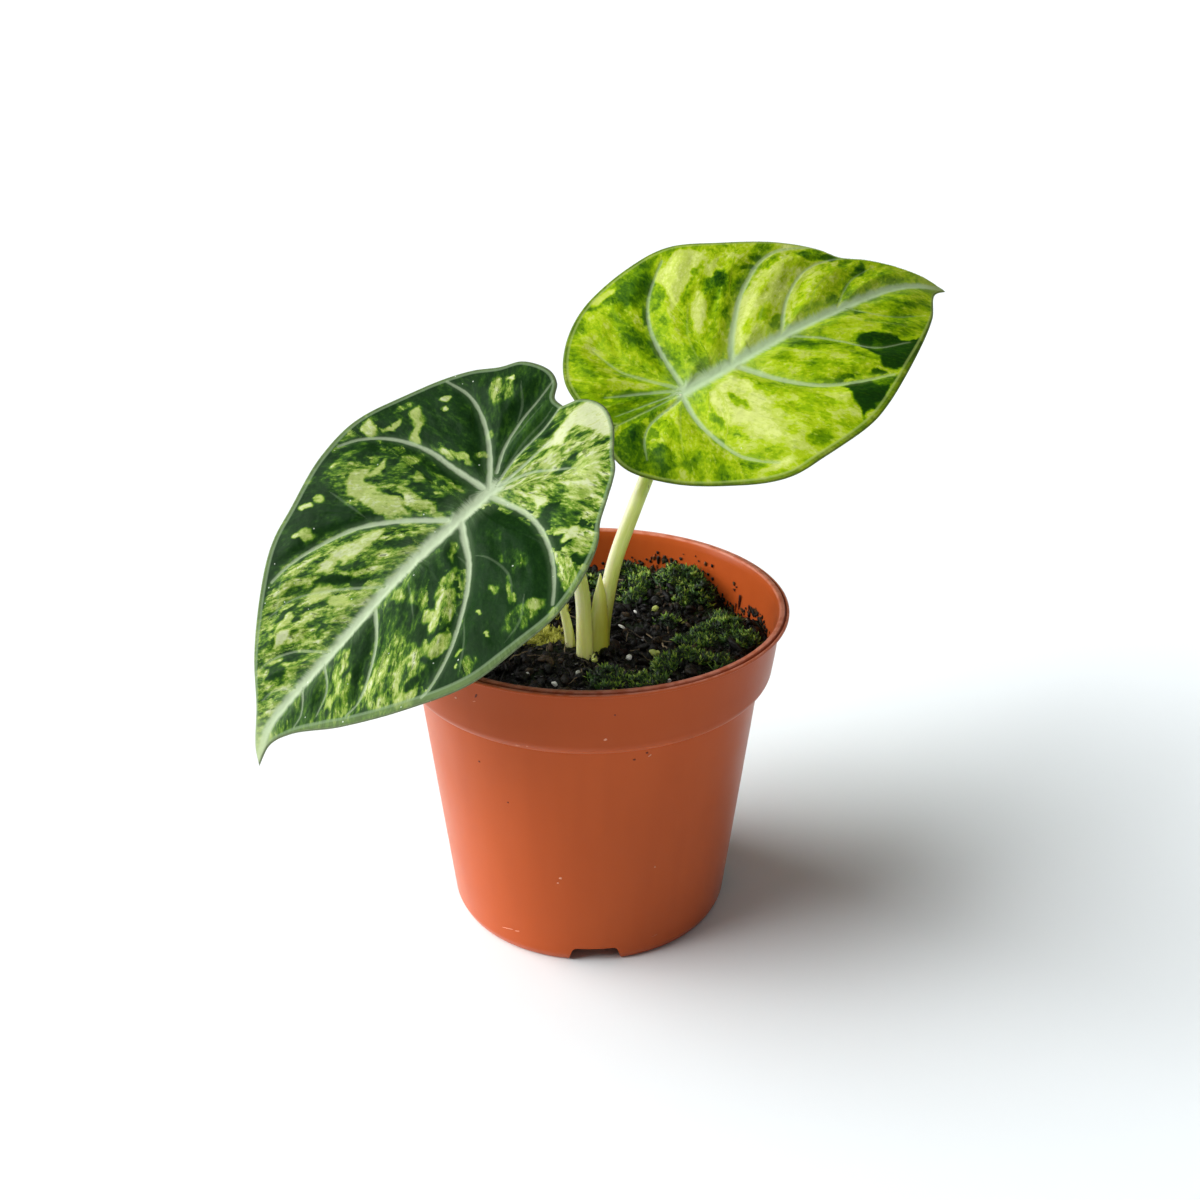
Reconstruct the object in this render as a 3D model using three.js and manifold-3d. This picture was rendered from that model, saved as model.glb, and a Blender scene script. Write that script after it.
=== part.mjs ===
// A potted ninja tricolor alocasia: a 10.5 cm nursery pot of thin terracotta-coloured plastic,
// filled with potting mix, in which a rhizome carries two petioles with large variegated blades,
// the stub of an old petiole and a papery cataphyll.
// Millimetres, +Z up, origin at the centre of the pot's base. The plant's front faces -Y.

import * as THREE from 'three';
import { mergeVertices } from 'three/addons/utils/BufferGeometryUtils.js';
import Module from 'manifold-3d';

const wasm = await Module();
wasm.setup();

// Driving dimensions of the pot

const RIM_RADIUS = 52.5;
const POT_HEIGHT = 88;
const WALL = 1.2;
const FOOT_RADIUS = 36.8;
const FOOT_WIDTH = 2.0;
const BODY_FOOT_RADIUS = 38.0;
const CREASE_RADIUS = 45.4;
const CREASE_HEIGHT = 67.6;
const BAND_LOW_RADIUS = 48.5;
const BAND_LOW_HEIGHT = 71.5;
const BAND_TOP_RADIUS = 50.0;
const BAND_TOP_HEIGHT = 85.0;
const LIP_INNER_RADIUS = 50.3;
const LIP_EDGE = 0.6;
const FOOT_EDGE = 0.8;
const FLOOR_CLEARANCE = 2.8;
const FLOOR_TOP = FLOOR_CLEARANCE + WALL;
const FLOOR_FILLET = 1.2;
const CENTRE_PAD_RADIUS = 11;
const NOTCH_COUNT = 4;
const NOTCH_WIDTH = 13.5;
const NOTCH_TOP_WIDTH = 11;
const NOTCH_HEIGHT = 2.6;
const NOTCH_REACH = 6;
const FRONT_NOTCH_TURN = -88;
const DRAIN_COUNT = 8;
const DRAIN_RADIUS = 3.5;
const DRAIN_CIRCLE_RADIUS = 24;
const DRAIN_SIDES = 12;
const POT_SIDES = 48;

// Driving dimensions of the potting mix and the rhizome

const GAP = 0.3;
const SOIL_LEVEL = 74.4;
const SOIL_LOWEST_EDGE = 72.4;
const SOIL_RINGS = 12;
const CRUMB_COUNT = 90;
const CRUMB_SEED = 7;
const CRUMB_AREA_RADIUS = 47;
const CRUMB_REACH = [2.2, 4.4];
const CRUMB_RISE = [0.5, 1.6];
const RHIZOME_TOP = 70;
const RHIZOME_CENTRE = new THREE.Vector2(0.4, -2.6);
const RHIZOME_LENGTH = 26;
const ROOT_COUNT = 7;
const ROOT_REACH = 26;
const ROOT_DROP = 24;
const ROOT_RADIUS = 1.7;
const ROOT_TIP_RADIUS = 0.8;

// Driving dimensions of the leaves

const BLADE_THICKNESS = 1.0;
const BLADE_SPOKES = 72;
const BLADE_RINGS = 11;
const QUILT_REACH = 5.5;
const MARGIN_BAND = 0.93;
const MARGIN_FADE = 0.25;
const TROUGH_ROUNDING = 5;
const RIB_DEPTH = 0.5;
const RIB_WIDTH = 1.6;

// Places on a leaf are given from the petiole's attachment: along the midrib towards the tip,
// then across it, positive to the plant's right of a blade that points at the viewer.
// heading turns the midrib about +Z, dip lowers its tip and roll leans the blade about it.

const LEFT_LEAF = {
  attachment: [-23, -20, 126.3],
  heading: 209,
  dip: 43,
  roll: 18,
  length: 86,
  arch: 7,
  trough: 0.1,
  quilt: 1.1,
  sideToNotch: [
    [86, -0.7], [83.5, -4.4], [76, -10.4], [67, -19.3], [49, -32.4], [42.5, -35.6], [35, -37.7],
    [20, -42.7], [6.5, -44], [-10.5, -38.4], [-20.5, -32], [-26, -26], [-30.6, -22], [-32.7, -14],
    [-31, -9.6], [-27.6, -7], [-27.2, -3.8],
  ],
  sideToTip: [
    [-27.2, -3.8], [-31.2, -1], [-32.9, 5.5], [-30, 12.8], [-24.4, 19], [-21.3, 22.9], [-13.8, 28],
    [-9, 31.2], [-5.5, 34.8], [0, 38.6], [8, 42.2], [15, 43.6], [24, 42.7], [37.2, 39.6], [51.5, 29.2],
    [64.7, 16], [75, 3], [80.5, -0.9], [86, -0.7],
  ],
  ribs: [
    [[0, 0], [40, 0.5], [70, -2.5], [84, -2]],
    [[12, 0], [20, -10.8], [32, -20.5], [50, -27.2]],
    [[30, 0], [42, -9], [56, -17], [66, -18]],
    [[54, 0], [63, -8], [73, -11]],
    [[11, 0], [17, 13], [29, 25], [45, 31.5]],
    [[36, 0], [44, 8.5], [53, 14.5], [61, 17]],
    [[56, 0], [62, 6], [69, 8]],
    [[1, 0], [1.5, -14], [5, -31.5], [16, -41.3]],
    [[1, 0], [-0.5, 13], [3, 27], [13, 41]],
    [[0, 0], [-10, -13.5], [-15.5, -27], [-14, -36]],
    [[0, 0], [-14, -8.6], [-26, -11], [-31.5, -12]],
    [[0, 0], [-10, 5.5], [-18, 15], [-22, 20]],
    [[-3, 0], [-15, -2.2], [-26, -3.6]],
  ],
};

const RIGHT_LEAF = {
  attachment: [25.3, 20, 139.6],
  heading: 28.5,
  dip: -10.5,
  roll: -26,
  length: 87.5,
  arch: 8,
  trough: 0.07,
  quilt: 1.1,
  sideToNotch: [
    [87, -0.4], [81.5, -1.8], [71.6, -11.9], [54, -25.3], [36, -36.6], [28, -39.8], [14, -41.5],
    [4, -41.2], [-8.7, -33.6], [-19, -25.3], [-26, -15.5], [-26.8, -8], [-25, -3], [-21.5, -0.5],
  ],
  sideToTip: [
    [-21.5, -0.5], [-25, 2.5], [-25.6, 8], [-24.9, 19.5], [-17.5, 31.4], [-6.5, 39.4],
    [8.5, 42.4], [20, 42], [33, 36], [48.6, 28.7], [57.5, 22.6], [61.5, 18.2], [69.4, 15.3],
    [78, 10.8], [84, 5.9], [87, -0.4],
  ],
  ribs: [
    [[0, 0], [30, 0], [66, 2], [85, 0.5]],
    [[13, 0], [22, 10.5], [33, 20.5], [55, 24]],
    [[29, 0], [38, 10], [50, 17], [61, 17.5]],
    [[48, 1], [58, 8.5], [69, 12]],
    [[14, 0], [20, -14], [28, -22.5], [45, -28]],
    [[30, 0], [40, -10.5], [48, -17.5], [58, -19]],
    [[50, 1], [60, -8], [70, -10.5]],
    [[0, 0], [0.8, 15], [5, 28], [16, 40]],
    [[0, 0], [-3.5, -15.5], [-1.6, -27.3], [8, -39]],
    [[0, 0], [-9, 4.6], [-18.6, 9.4], [-24.5, 12]],
    [[0, 0], [-8, 9], [-12.5, 20], [-12.5, 32]],
    [[0, 0], [-13.6, -5.5], [-20.4, -14.5], [-22, -20]],
    [[-3, 0], [-12, -0.4], [-20.5, -0.6]],
  ],
};

// Stems: the points of each centre line, from its foot on the rhizome

const STEM_FOOT = RHIZOME_TOP + GAP;

const LEFT_PETIOLE = {
  points: [
    [-1.3, -5.2, STEM_FOOT], [-1.3, -4.6, 80], [-1.7, -4, 90.5], [-2.9, -4.6, 98],
    [-6.5, -7.2, 107.5], [-12, -11.6, 116.5], [-18, -16.2, 122.8], [-23, -20, 126.1],
  ],
  footRadius: 2.3,
  topRadius: 1.7,
};

const RIGHT_PETIOLE = {
  points: [
    [3.1, -1.2, STEM_FOOT], [3.3, -1.2, 80], [4.9, -0.8, 90.7], [7, 0.6, 99.8],
    [11.7, 4.6, 111.6], [16.8, 10.5, 122.6], [21.4, 15.7, 131.6], [25.2, 19.7, 139.2],
  ],
  footRadius: 2.3,
  topRadius: 1.75,
};

const OLD_STUB = {
  points: [[-4.9, -1.4, STEM_FOOT], [-5.1, -1.5, 78], [-7, -2, 87.3], [-9.6, -2.8, 93.5]],
  footRadius: 1.5,
  topRadius: 1.15,
};

const CATAPHYLL = {
  points: [[2.5, -2.7, STEM_FOOT], [2.6, -2.7, 80], [2.9, -2.8, 89], [3, -3, 97]],
  radii: [2.7, 2.6, 2, 0.4],
};

// Colours from the photograph

const PLASTIC = new THREE.MeshStandardMaterial({ color: 0xb5582f, roughness: 0.55 });
const SOIL = new THREE.MeshStandardMaterial({ color: 0x1d1815, roughness: 0.95 });
const ROOT = new THREE.MeshStandardMaterial({ color: 0xb79a72, roughness: 0.8 });
const PETIOLE = new THREE.MeshStandardMaterial({ color: 0xb9c47c, roughness: 0.45 });
const SHEATH = new THREE.MeshStandardMaterial({ color: 0xa3a25e, roughness: 0.6 });
const DARK_BLADE = new THREE.MeshStandardMaterial({ color: 0x2f5f2c, roughness: 0.35 });
const LIGHT_BLADE = new THREE.MeshStandardMaterial({ color: 0x9cc22a, roughness: 0.35 });

// Shared helpers

// A small repeatable random number generator, from 0 up to 1.
function makeRandom(seed) {
  let state = seed;
  return () => {
    state = (state * 16807) % 2147483647;
    return state / 2147483647;
  };
}

function smoothstep(x) {
  return THREE.MathUtils.smoothstep(x, 0, 1);
}

// Turns a closed geometry into a manifold solid, with its shared vertices merged.
function toSolid(geometry) {
  geometry.deleteAttribute('normal');
  geometry.deleteAttribute('uv');
  const merged = mergeVertices(geometry, 1e-3);
  const corners = merged.index.array;
  const kept = [];
  for (let i = 0; i < corners.length; i += 3) {
    const [a, b, c] = [corners[i], corners[i + 1], corners[i + 2]];
    if (a !== b && b !== c && c !== a) {
      kept.push(a, b, c);
    }
  }
  const vertProperties = new Float32Array(merged.attributes.position.array);
  const triVerts = new Uint32Array(kept);
  return new wasm.Manifold(new wasm.Mesh({ numProp: 3, vertProperties, triVerts }));
}

function toGeometry(solid) {
  const mesh = solid.getMesh();
  const geometry = new THREE.BufferGeometry();
  geometry.setAttribute('position', new THREE.BufferAttribute(mesh.vertProperties, 3));
  geometry.setIndex(new THREE.BufferAttribute(mesh.triVerts, 1));
  geometry.computeVertexNormals();
  return geometry;
}

function namedMesh(name, solid, material) {
  const mesh = new THREE.Mesh(toGeometry(solid), material);
  mesh.name = name;
  return mesh;
}

// Closes a stack of equal rings into one solid, with a pole at each end. The rings turn
// anticlockwise as seen from beyond the last pole. From the ring mirrorFrom on, the quads are split
// along their other diagonal, so that a sheet's two faces have the same triangles.
function ringSolid(firstPole, rings, lastPole, mirrorFrom = Infinity) {
  const count = rings[0].length;
  const positions = [firstPole, ...rings.flat(), lastPole].flatMap((p) => [p.x, p.y, p.z]);
  const lastIndex = rings.length * count + 1;
  const index = [];
  const at = (ring, place) => 1 + ring * count + (place % count);
  for (let j = 0; j < count; j += 1) {
    index.push(0, at(0, j + 1), at(0, j));
    index.push(lastIndex, at(rings.length - 1, j), at(rings.length - 1, j + 1));
  }
  for (let i = 0; i + 1 < rings.length; i += 1) {
    for (let j = 0; j < count; j += 1) {
      const [a, b] = [at(i, j), at(i, j + 1)];
      const [c, d] = [at(i + 1, j), at(i + 1, j + 1)];
      if (i < mirrorFrom) {
        index.push(a, b, d, a, d, c);
      } else {
        index.push(a, b, c, b, d, c);
      }
    }
  }
  const geometry = new THREE.BufferGeometry();
  geometry.setAttribute('position', new THREE.Float32BufferAttribute(positions, 3));
  geometry.setIndex(index);
  return toSolid(geometry);
}

// A round stem along a smooth curve, whose radius follows radiusAt from 0 at the foot to 1.
function stemSolid(points, radiusAt, { sides = 10, steps = 12, extra = 0 } = {}) {
  const curve = new THREE.CatmullRomCurve3(points.map((p) => new THREE.Vector3(...p)));
  const side = new THREE.Vector3(1, 0, 0);
  const rings = [];
  for (let i = 0; i <= steps; i += 1) {
    const t = i / steps;
    const centre = curve.getPoint(t);
    const along = i === 0 ? new THREE.Vector3(0, 0, 1) : curve.getTangent(t);
    side.addScaledVector(along, -side.dot(along)).normalize();
    const across = new THREE.Vector3().crossVectors(along, side);
    const radius = radiusAt(t) + extra;
    const ring = [];
    for (let j = 0; j < sides; j += 1) {
      const turn = (j / sides) * 2 * Math.PI;
      const point = centre.clone().addScaledVector(side, radius * Math.cos(turn));
      ring.push(point.addScaledVector(across, radius * Math.sin(turn)));
    }
    rings.push(ring);
  }
  const foot = curve.getPoint(0).add(new THREE.Vector3(0, 0, -extra));
  rings[0].forEach((point) => {
    point.z -= extra;
  });
  return ringSolid(foot, rings, curve.getPoint(1));
}

// The pot

// The outer wall from the foot up to the band's top, as radius and height.
const OUTER_WALL = [
  [BODY_FOOT_RADIUS, FLOOR_TOP],
  [CREASE_RADIUS, CREASE_HEIGHT],
  [BAND_LOW_RADIUS, BAND_LOW_HEIGHT],
  [BAND_TOP_RADIUS, BAND_TOP_HEIGHT],
];

// The inner wall's radius at a height above the floor.
function innerRadius(height) {
  let radius = OUTER_WALL[0][0];
  for (let i = 0; i + 1 < OUTER_WALL.length; i += 1) {
    const [lowRadius, lowHeight] = OUTER_WALL[i];
    const [highRadius, highHeight] = OUTER_WALL[i + 1];
    if (height >= lowHeight) {
      const share = (height - lowHeight) / (highHeight - lowHeight);
      radius = lowRadius + share * (highRadius - lowRadius);
    }
  }
  return radius - WALL;
}

// The pad in the middle of the base stands on the ground, so the floor dips into it inside.
const PAD_WELL_TOP_RADIUS = CENTRE_PAD_RADIUS - 0.2;
const PAD_WELL_RADIUS = CENTRE_PAD_RADIUS - WALL;

function potProfile() {
  const underside = [
    [0, 0],
    [CENTRE_PAD_RADIUS, 0],
    [CENTRE_PAD_RADIUS + FOOT_EDGE, FLOOR_CLEARANCE],
    [FOOT_RADIUS - FOOT_WIDTH - FOOT_EDGE, FLOOR_CLEARANCE],
    [FOOT_RADIUS - FOOT_WIDTH, 0],
    [FOOT_RADIUS, 0],
    [FOOT_RADIUS + FOOT_EDGE, FOOT_EDGE],
  ];
  const lip = [
    [RIM_RADIUS - LIP_EDGE, BAND_TOP_HEIGHT + LIP_EDGE],
    [RIM_RADIUS, BAND_TOP_HEIGHT + 2 * LIP_EDGE],
    [RIM_RADIUS, POT_HEIGHT - LIP_EDGE],
    [RIM_RADIUS - LIP_EDGE, POT_HEIGHT],
    [LIP_INNER_RADIUS + LIP_EDGE, POT_HEIGHT],
    [LIP_INNER_RADIUS, POT_HEIGHT - LIP_EDGE],
  ];
  const innerWall = OUTER_WALL.slice(1).reverse().map(([radius, height]) => [radius - WALL, height]);
  const inside = [
    [innerRadius(FLOOR_TOP + FLOOR_FILLET), FLOOR_TOP + FLOOR_FILLET],
    [innerRadius(FLOOR_TOP + FLOOR_FILLET) - FLOOR_FILLET, FLOOR_TOP],
    [PAD_WELL_TOP_RADIUS, FLOOR_TOP],
    [PAD_WELL_RADIUS, WALL],
    [0, WALL],
  ];
  const points = [...underside, ...OUTER_WALL, ...lip, ...innerWall, ...inside];
  return points.map(([radius, height]) => new THREE.Vector2(radius, height));
}

// One drainage notch: a prism with slanted ends, lying across the foot ring on +X.
function notchSolid() {
  const outline = new THREE.Shape();
  outline.moveTo(-NOTCH_WIDTH / 2 - 0.5, -1);
  outline.lineTo(NOTCH_WIDTH / 2 + 0.5, -1);
  outline.lineTo(NOTCH_TOP_WIDTH / 2, NOTCH_HEIGHT);
  outline.lineTo(-NOTCH_TOP_WIDTH / 2, NOTCH_HEIGHT);
  outline.closePath();
  const prism = new THREE.ExtrudeGeometry(outline, { depth: 2 * NOTCH_REACH, bevelEnabled: false });
  prism.rotateX(Math.PI / 2);
  prism.rotateZ(Math.PI / 2);
  prism.translate(FOOT_RADIUS - NOTCH_REACH, 0, 0);
  return toSolid(prism);
}

function buildPot() {
  const body = new THREE.LatheGeometry(potProfile(), POT_SIDES);
  body.rotateX(Math.PI / 2);
  let pot = toSolid(body);
  for (let i = 0; i < NOTCH_COUNT; i += 1) {
    const turn = FRONT_NOTCH_TURN + (i * 360) / NOTCH_COUNT;
    pot = pot.subtract(notchSolid().rotate([0, 0, turn]));
  }
  for (let i = 0; i < DRAIN_COUNT; i += 1) {
    const turn = ((i + 0.5) / DRAIN_COUNT) * 2 * Math.PI;
    const drain = new THREE.CylinderGeometry(DRAIN_RADIUS, DRAIN_RADIUS, 3 * WALL, DRAIN_SIDES);
    drain.rotateX(Math.PI / 2);
    drain.translate(
      DRAIN_CIRCLE_RADIUS * Math.cos(turn),
      DRAIN_CIRCLE_RADIUS * Math.sin(turn),
      FLOOR_CLEARANCE + WALL / 2,
    );
    pot = pot.subtract(toSolid(drain));
  }
  return pot;
}

// The potting mix

// Broad rises and dips of its surface: x, y, reach and height.
const SOIL_RISES = [
  [14, 44, 20, 3.2],
  [30, 36, 12, 2.6],
  [41, 24, 8, -3],
  [46, 6, 8, 2.2],
  [26, -14, 11, 2.4],
  [34, -26, 9, 1.8],
  [7, -34, 9, 2.0],
  [-14, -12, 10, 2.2],
  [-30, 18, 16, 2.0],
  [-24, -34, 14, -1.2],
  [16, -4, 9, -1.6],
];

function makeCrumbs() {
  const random = makeRandom(CRUMB_SEED);
  const crumbs = [];
  for (let i = 0; i < CRUMB_COUNT; i += 1) {
    const distance = CRUMB_AREA_RADIUS * Math.sqrt(random());
    const turn = random() * 2 * Math.PI;
    const reach = THREE.MathUtils.lerp(...CRUMB_REACH, random());
    const height = THREE.MathUtils.lerp(...CRUMB_RISE, random());
    crumbs.push([distance * Math.cos(turn), distance * Math.sin(turn), reach, height]);
  }
  return crumbs;
}

const SOIL_BUMPS = [...SOIL_RISES, ...makeCrumbs()];

function soilHeight(x, y) {
  let height = SOIL_LEVEL;
  SOIL_BUMPS.forEach(([centreX, centreY, reach, rise]) => {
    const distance = Math.hypot(x - centreX, y - centreY) / reach;
    height += rise * Math.exp(-distance * distance * 1.5);
  });
  return height;
}

function circle(radius, height) {
  const ring = [];
  for (let j = 0; j < POT_SIDES; j += 1) {
    const turn = (j / POT_SIDES) * 2 * Math.PI;
    ring.push(new THREE.Vector3(radius * Math.cos(turn), radius * Math.sin(turn), height));
  }
  return ring;
}

function buildSoilBlock() {
  const filletTop = FLOOR_TOP + FLOOR_FILLET;
  const rings = [
    circle(PAD_WELL_RADIUS - GAP, WALL + GAP),
    circle(PAD_WELL_TOP_RADIUS - GAP, FLOOR_TOP + GAP),
    circle(innerRadius(filletTop) - FLOOR_FILLET - GAP, FLOOR_TOP + GAP),
    circle(innerRadius(filletTop) - GAP, filletTop + GAP),
    circle(innerRadius(CREASE_HEIGHT) - GAP, CREASE_HEIGHT + GAP),
    circle(innerRadius(BAND_LOW_HEIGHT) - GAP, BAND_LOW_HEIGHT + GAP),
  ];
  const edge = circle(innerRadius(SOIL_LEVEL) - GAP, SOIL_LEVEL).map((point) => {
    const height = Math.max(soilHeight(point.x, point.y), SOIL_LOWEST_EDGE);
    const scale = (innerRadius(height) - GAP) / Math.hypot(point.x, point.y);
    return new THREE.Vector3(point.x * scale, point.y * scale, height);
  });
  rings.push(edge);
  for (let i = SOIL_RINGS - 1; i > 0; i -= 1) {
    const share = i / SOIL_RINGS;
    rings.push(edge.map((point) => {
      const [x, y] = [point.x * share, point.y * share];
      return new THREE.Vector3(x, y, soilHeight(x, y));
    }));
  }
  const bottom = new THREE.Vector3(0, 0, WALL + GAP);
  const top = new THREE.Vector3(0, 0, soilHeight(0, 0));
  return ringSolid(bottom, rings, top);
}

// The rhizome, with thick roots that spread through the mix. extra grows it all round.
function buildRhizome(extra = 0) {
  const tip = RHIZOME_TOP - RHIZOME_LENGTH;
  const profile = [
    [0, tip], [4, tip + 1], [8, tip + 8], [9.8, tip + 17], [9, tip + 24], [8.4, RHIZOME_TOP],
    [0, RHIZOME_TOP],
  ];
  const points = profile.map(([radius, height]) => {
    const grown = radius > 0 ? radius + extra : 0;
    const outward = height > RHIZOME_TOP - 10 ? extra : -extra;
    return new THREE.Vector2(grown, height + outward);
  });
  const body = new THREE.LatheGeometry(points, 16);
  body.rotateX(Math.PI / 2);
  body.translate(RHIZOME_CENTRE.x, RHIZOME_CENTRE.y, 0);
  let rhizome = toSolid(body);
  for (let i = 0; i < ROOT_COUNT; i += 1) {
    const turn = ((i + 0.3) / ROOT_COUNT) * 2 * Math.PI;
    const reach = ROOT_REACH + 4 * Math.sin(5 * i);
    const drop = ROOT_DROP + 8 * Math.cos(3 * i);
    const rootPoint = (share, down) => [
      RHIZOME_CENTRE.x + reach * share * Math.cos(turn + 0.3 * share),
      RHIZOME_CENTRE.y + reach * share * Math.sin(turn + 0.3 * share),
      RHIZOME_TOP - 12 - drop * down,
    ];
    const path = [rootPoint(0.15, 0), rootPoint(0.5, 0.12), rootPoint(0.85, 0.45), rootPoint(1, 1)];
    const radiusAt = (t) => THREE.MathUtils.lerp(ROOT_RADIUS, ROOT_TIP_RADIUS, t);
    rhizome = rhizome.add(stemSolid(path, radiusAt, { sides: 6, steps: 6, extra }));
  }
  return rhizome;
}

// The blades

// The frame of a blade: along the midrib, across it, and out of its upper face.
function leafFrame(leaf) {
  const [heading, dip, roll] = [leaf.heading, leaf.dip, leaf.roll].map(THREE.MathUtils.degToRad);
  const along = new THREE.Vector3(
    Math.cos(heading) * Math.cos(dip),
    Math.sin(heading) * Math.cos(dip),
    -Math.sin(dip),
  );
  const level = new THREE.Vector3(-Math.sin(heading), Math.cos(heading), 0);
  const upright = new THREE.Vector3().crossVectors(along, level);
  const across = level.multiplyScalar(Math.cos(roll)).addScaledVector(upright, -Math.sin(roll));
  const outward = new THREE.Vector3().crossVectors(along, across);
  const matrix = new THREE.Matrix4().makeBasis(along, across, outward);
  return matrix.setPosition(...leaf.attachment);
}

function flatCurve(points) {
  return new THREE.CatmullRomCurve3(points.map(([u, v]) => new THREE.Vector3(u, v, 0)));
}

// The blade's outline, from the tip round by the notch and back, with equal steps on each side.
function bladeOutline(leaf) {
  const half = BLADE_SPOKES / 2;
  const firstSide = flatCurve(leaf.sideToNotch).getSpacedPoints(half);
  const secondSide = flatCurve(leaf.sideToTip).getSpacedPoints(half);
  return [...firstSide.slice(0, half), ...secondSide.slice(0, half)].reverse();
}

function distanceToPath(u, v, path) {
  let nearest = Infinity;
  for (let i = 0; i + 1 < path.length; i += 1) {
    const [stepU, stepV] = [path[i + 1].x - path[i].x, path[i + 1].y - path[i].y];
    const [fromU, fromV] = [u - path[i].x, v - path[i].y];
    const share = (fromU * stepU + fromV * stepV) / (stepU * stepU + stepV * stepV);
    const held = THREE.MathUtils.clamp(share, 0, 1);
    nearest = Math.min(nearest, Math.hypot(fromU - held * stepU, fromV - held * stepV));
  }
  return nearest;
}

// Height of the blade's middle surface over its flat frame, without the quilting: an arch
// along the midrib and a shallow trough across it.
function bladeForm(leaf, u, v) {
  const share = u / leaf.length;
  const arch = share > 0 ? share * (1 - share) : share / (1 - 3 * share);
  const trough = Math.hypot(v, TROUGH_ROUNDING) - TROUGH_ROUNDING;
  return 4 * leaf.arch * arch + leaf.trough * trough;
}

// A blade as a closed sheet. It bulges between its ribs and stands out below them. over and
// under grow it above and below, for cutting its neighbours clear.
function buildBlade(leaf, over = 0, under = 0) {
  const frame = leafFrame(leaf);
  const ribs = leaf.ribs.map((points) => flatCurve(points).getPoints(10));
  const outline = bladeOutline(leaf);
  const place = (u, v, share, side) => {
    const distance = Math.min(...ribs.map((path) => distanceToPath(u, v, path)));
    const inside = smoothstep((MARGIN_BAND - share) / MARGIN_FADE);
    const bulge = leaf.quilt * smoothstep(distance / QUILT_REACH) * inside;
    const rib = RIB_DEPTH * Math.exp(-((distance / RIB_WIDTH) ** 2)) * (1 - share);
    const offset = side > 0 ? BLADE_THICKNESS / 2 + over : -BLADE_THICKNESS / 2 - rib - under;
    return new THREE.Vector3(u, v, bladeForm(leaf, u, v) + bulge + offset).applyMatrix4(frame);
  };
  const sheet = (share, side) => outline.map((p) => place(p.x * share, p.y * share, share, side));
  const shares = Array.from({ length: BLADE_RINGS }, (_, i) => ((i + 1) / BLADE_RINGS) ** 0.9);
  const lower = shares.map((share) => sheet(share, -1));
  const upper = shares.map((share) => sheet(share, 1)).reverse();
  const rings = [...lower, ...upper];
  return ringSolid(place(0, 0, 0, -1), rings, place(0, 0, 0, 1), BLADE_RINGS);
}

// The stems

function petioleSolid(petiole, extra = 0) {
  const { footRadius, topRadius } = petiole;
  const radiusAt = (t) => topRadius + (footRadius - topRadius) * (1 - t) ** 1.5;
  return stemSolid(petiole.points, radiusAt, { steps: 16, extra });
}

// A petiole, ended against the underside of its blade.
function buildPetiole(petiole, leaf) {
  const reachAbove = 6;
  return petioleSolid(petiole).subtract(buildBlade(leaf, reachAbove, GAP));
}

function cataphyllSolid(extra = 0) {
  const steps = CATAPHYLL.radii.length - 1;
  const radiusAt = (t) => {
    const place = Math.min(Math.floor(t * steps), steps - 1);
    const share = t * steps - place;
    return THREE.MathUtils.lerp(CATAPHYLL.radii[place], CATAPHYLL.radii[place + 1], share);
  };
  return stemSolid(CATAPHYLL.points, radiusAt, { steps: 9, extra });
}

// The sheath as it hugs the right petiole, without the scraps that the petioles cut off it.
function buildCataphyll() {
  const cut = cataphyllSolid()
    .subtract(petioleSolid(LEFT_PETIOLE, GAP))
    .subtract(petioleSolid(RIGHT_PETIOLE, GAP));
  return cut.decompose().sort((a, b) => b.volume() - a.volume())[0];
}

function buildSoil() {
  return buildSoilBlock()
    .subtract(buildRhizome(GAP))
    .subtract(petioleSolid(LEFT_PETIOLE, GAP))
    .subtract(petioleSolid(RIGHT_PETIOLE, GAP))
    .subtract(petioleSolid(OLD_STUB, GAP))
    .subtract(cataphyllSolid(GAP));
}

const group = new THREE.Group();
group.add(namedMesh('pot', buildPot(), PLASTIC));
group.add(namedMesh('soil', buildSoil(), SOIL));
group.add(namedMesh('rhizome', buildRhizome(), ROOT));
group.add(namedMesh('leaf_left_petiole', buildPetiole(LEFT_PETIOLE, LEFT_LEAF), PETIOLE));
group.add(namedMesh('leaf_left_blade', buildBlade(LEFT_LEAF), DARK_BLADE));
group.add(namedMesh('leaf_right_petiole', buildPetiole(RIGHT_PETIOLE, RIGHT_LEAF), PETIOLE));
group.add(namedMesh('leaf_right_blade', buildBlade(RIGHT_LEAF), LIGHT_BLADE));
group.add(namedMesh('old_petiole_stub', petioleSolid(OLD_STUB), SHEATH));
group.add(namedMesh('cataphyll', buildCataphyll(), SHEATH));

export default group;
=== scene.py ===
# A potted ninja tricolor alocasia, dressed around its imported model.
# Places and sizes are in millimetres in the part's own frame. MM turns them into metres.

import math

import bmesh
import bpy
import numpy as np
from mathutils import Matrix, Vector
from mathutils.geometry import delaunay_2d_cdt


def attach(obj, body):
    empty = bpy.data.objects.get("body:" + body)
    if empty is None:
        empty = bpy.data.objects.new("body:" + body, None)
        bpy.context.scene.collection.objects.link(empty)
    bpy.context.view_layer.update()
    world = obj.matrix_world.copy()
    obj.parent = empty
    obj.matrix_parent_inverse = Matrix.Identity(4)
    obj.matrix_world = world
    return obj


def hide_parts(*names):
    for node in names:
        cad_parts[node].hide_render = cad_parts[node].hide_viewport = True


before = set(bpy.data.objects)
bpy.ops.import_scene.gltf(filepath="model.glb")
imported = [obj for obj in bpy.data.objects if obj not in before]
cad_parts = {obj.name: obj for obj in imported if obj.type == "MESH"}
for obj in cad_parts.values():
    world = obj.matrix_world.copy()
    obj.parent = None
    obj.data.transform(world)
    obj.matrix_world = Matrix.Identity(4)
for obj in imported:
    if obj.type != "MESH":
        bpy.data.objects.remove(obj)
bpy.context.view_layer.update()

MM = 0.001

# Camera, from the ellipses of the pot's rim and foot in the photograph

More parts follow.
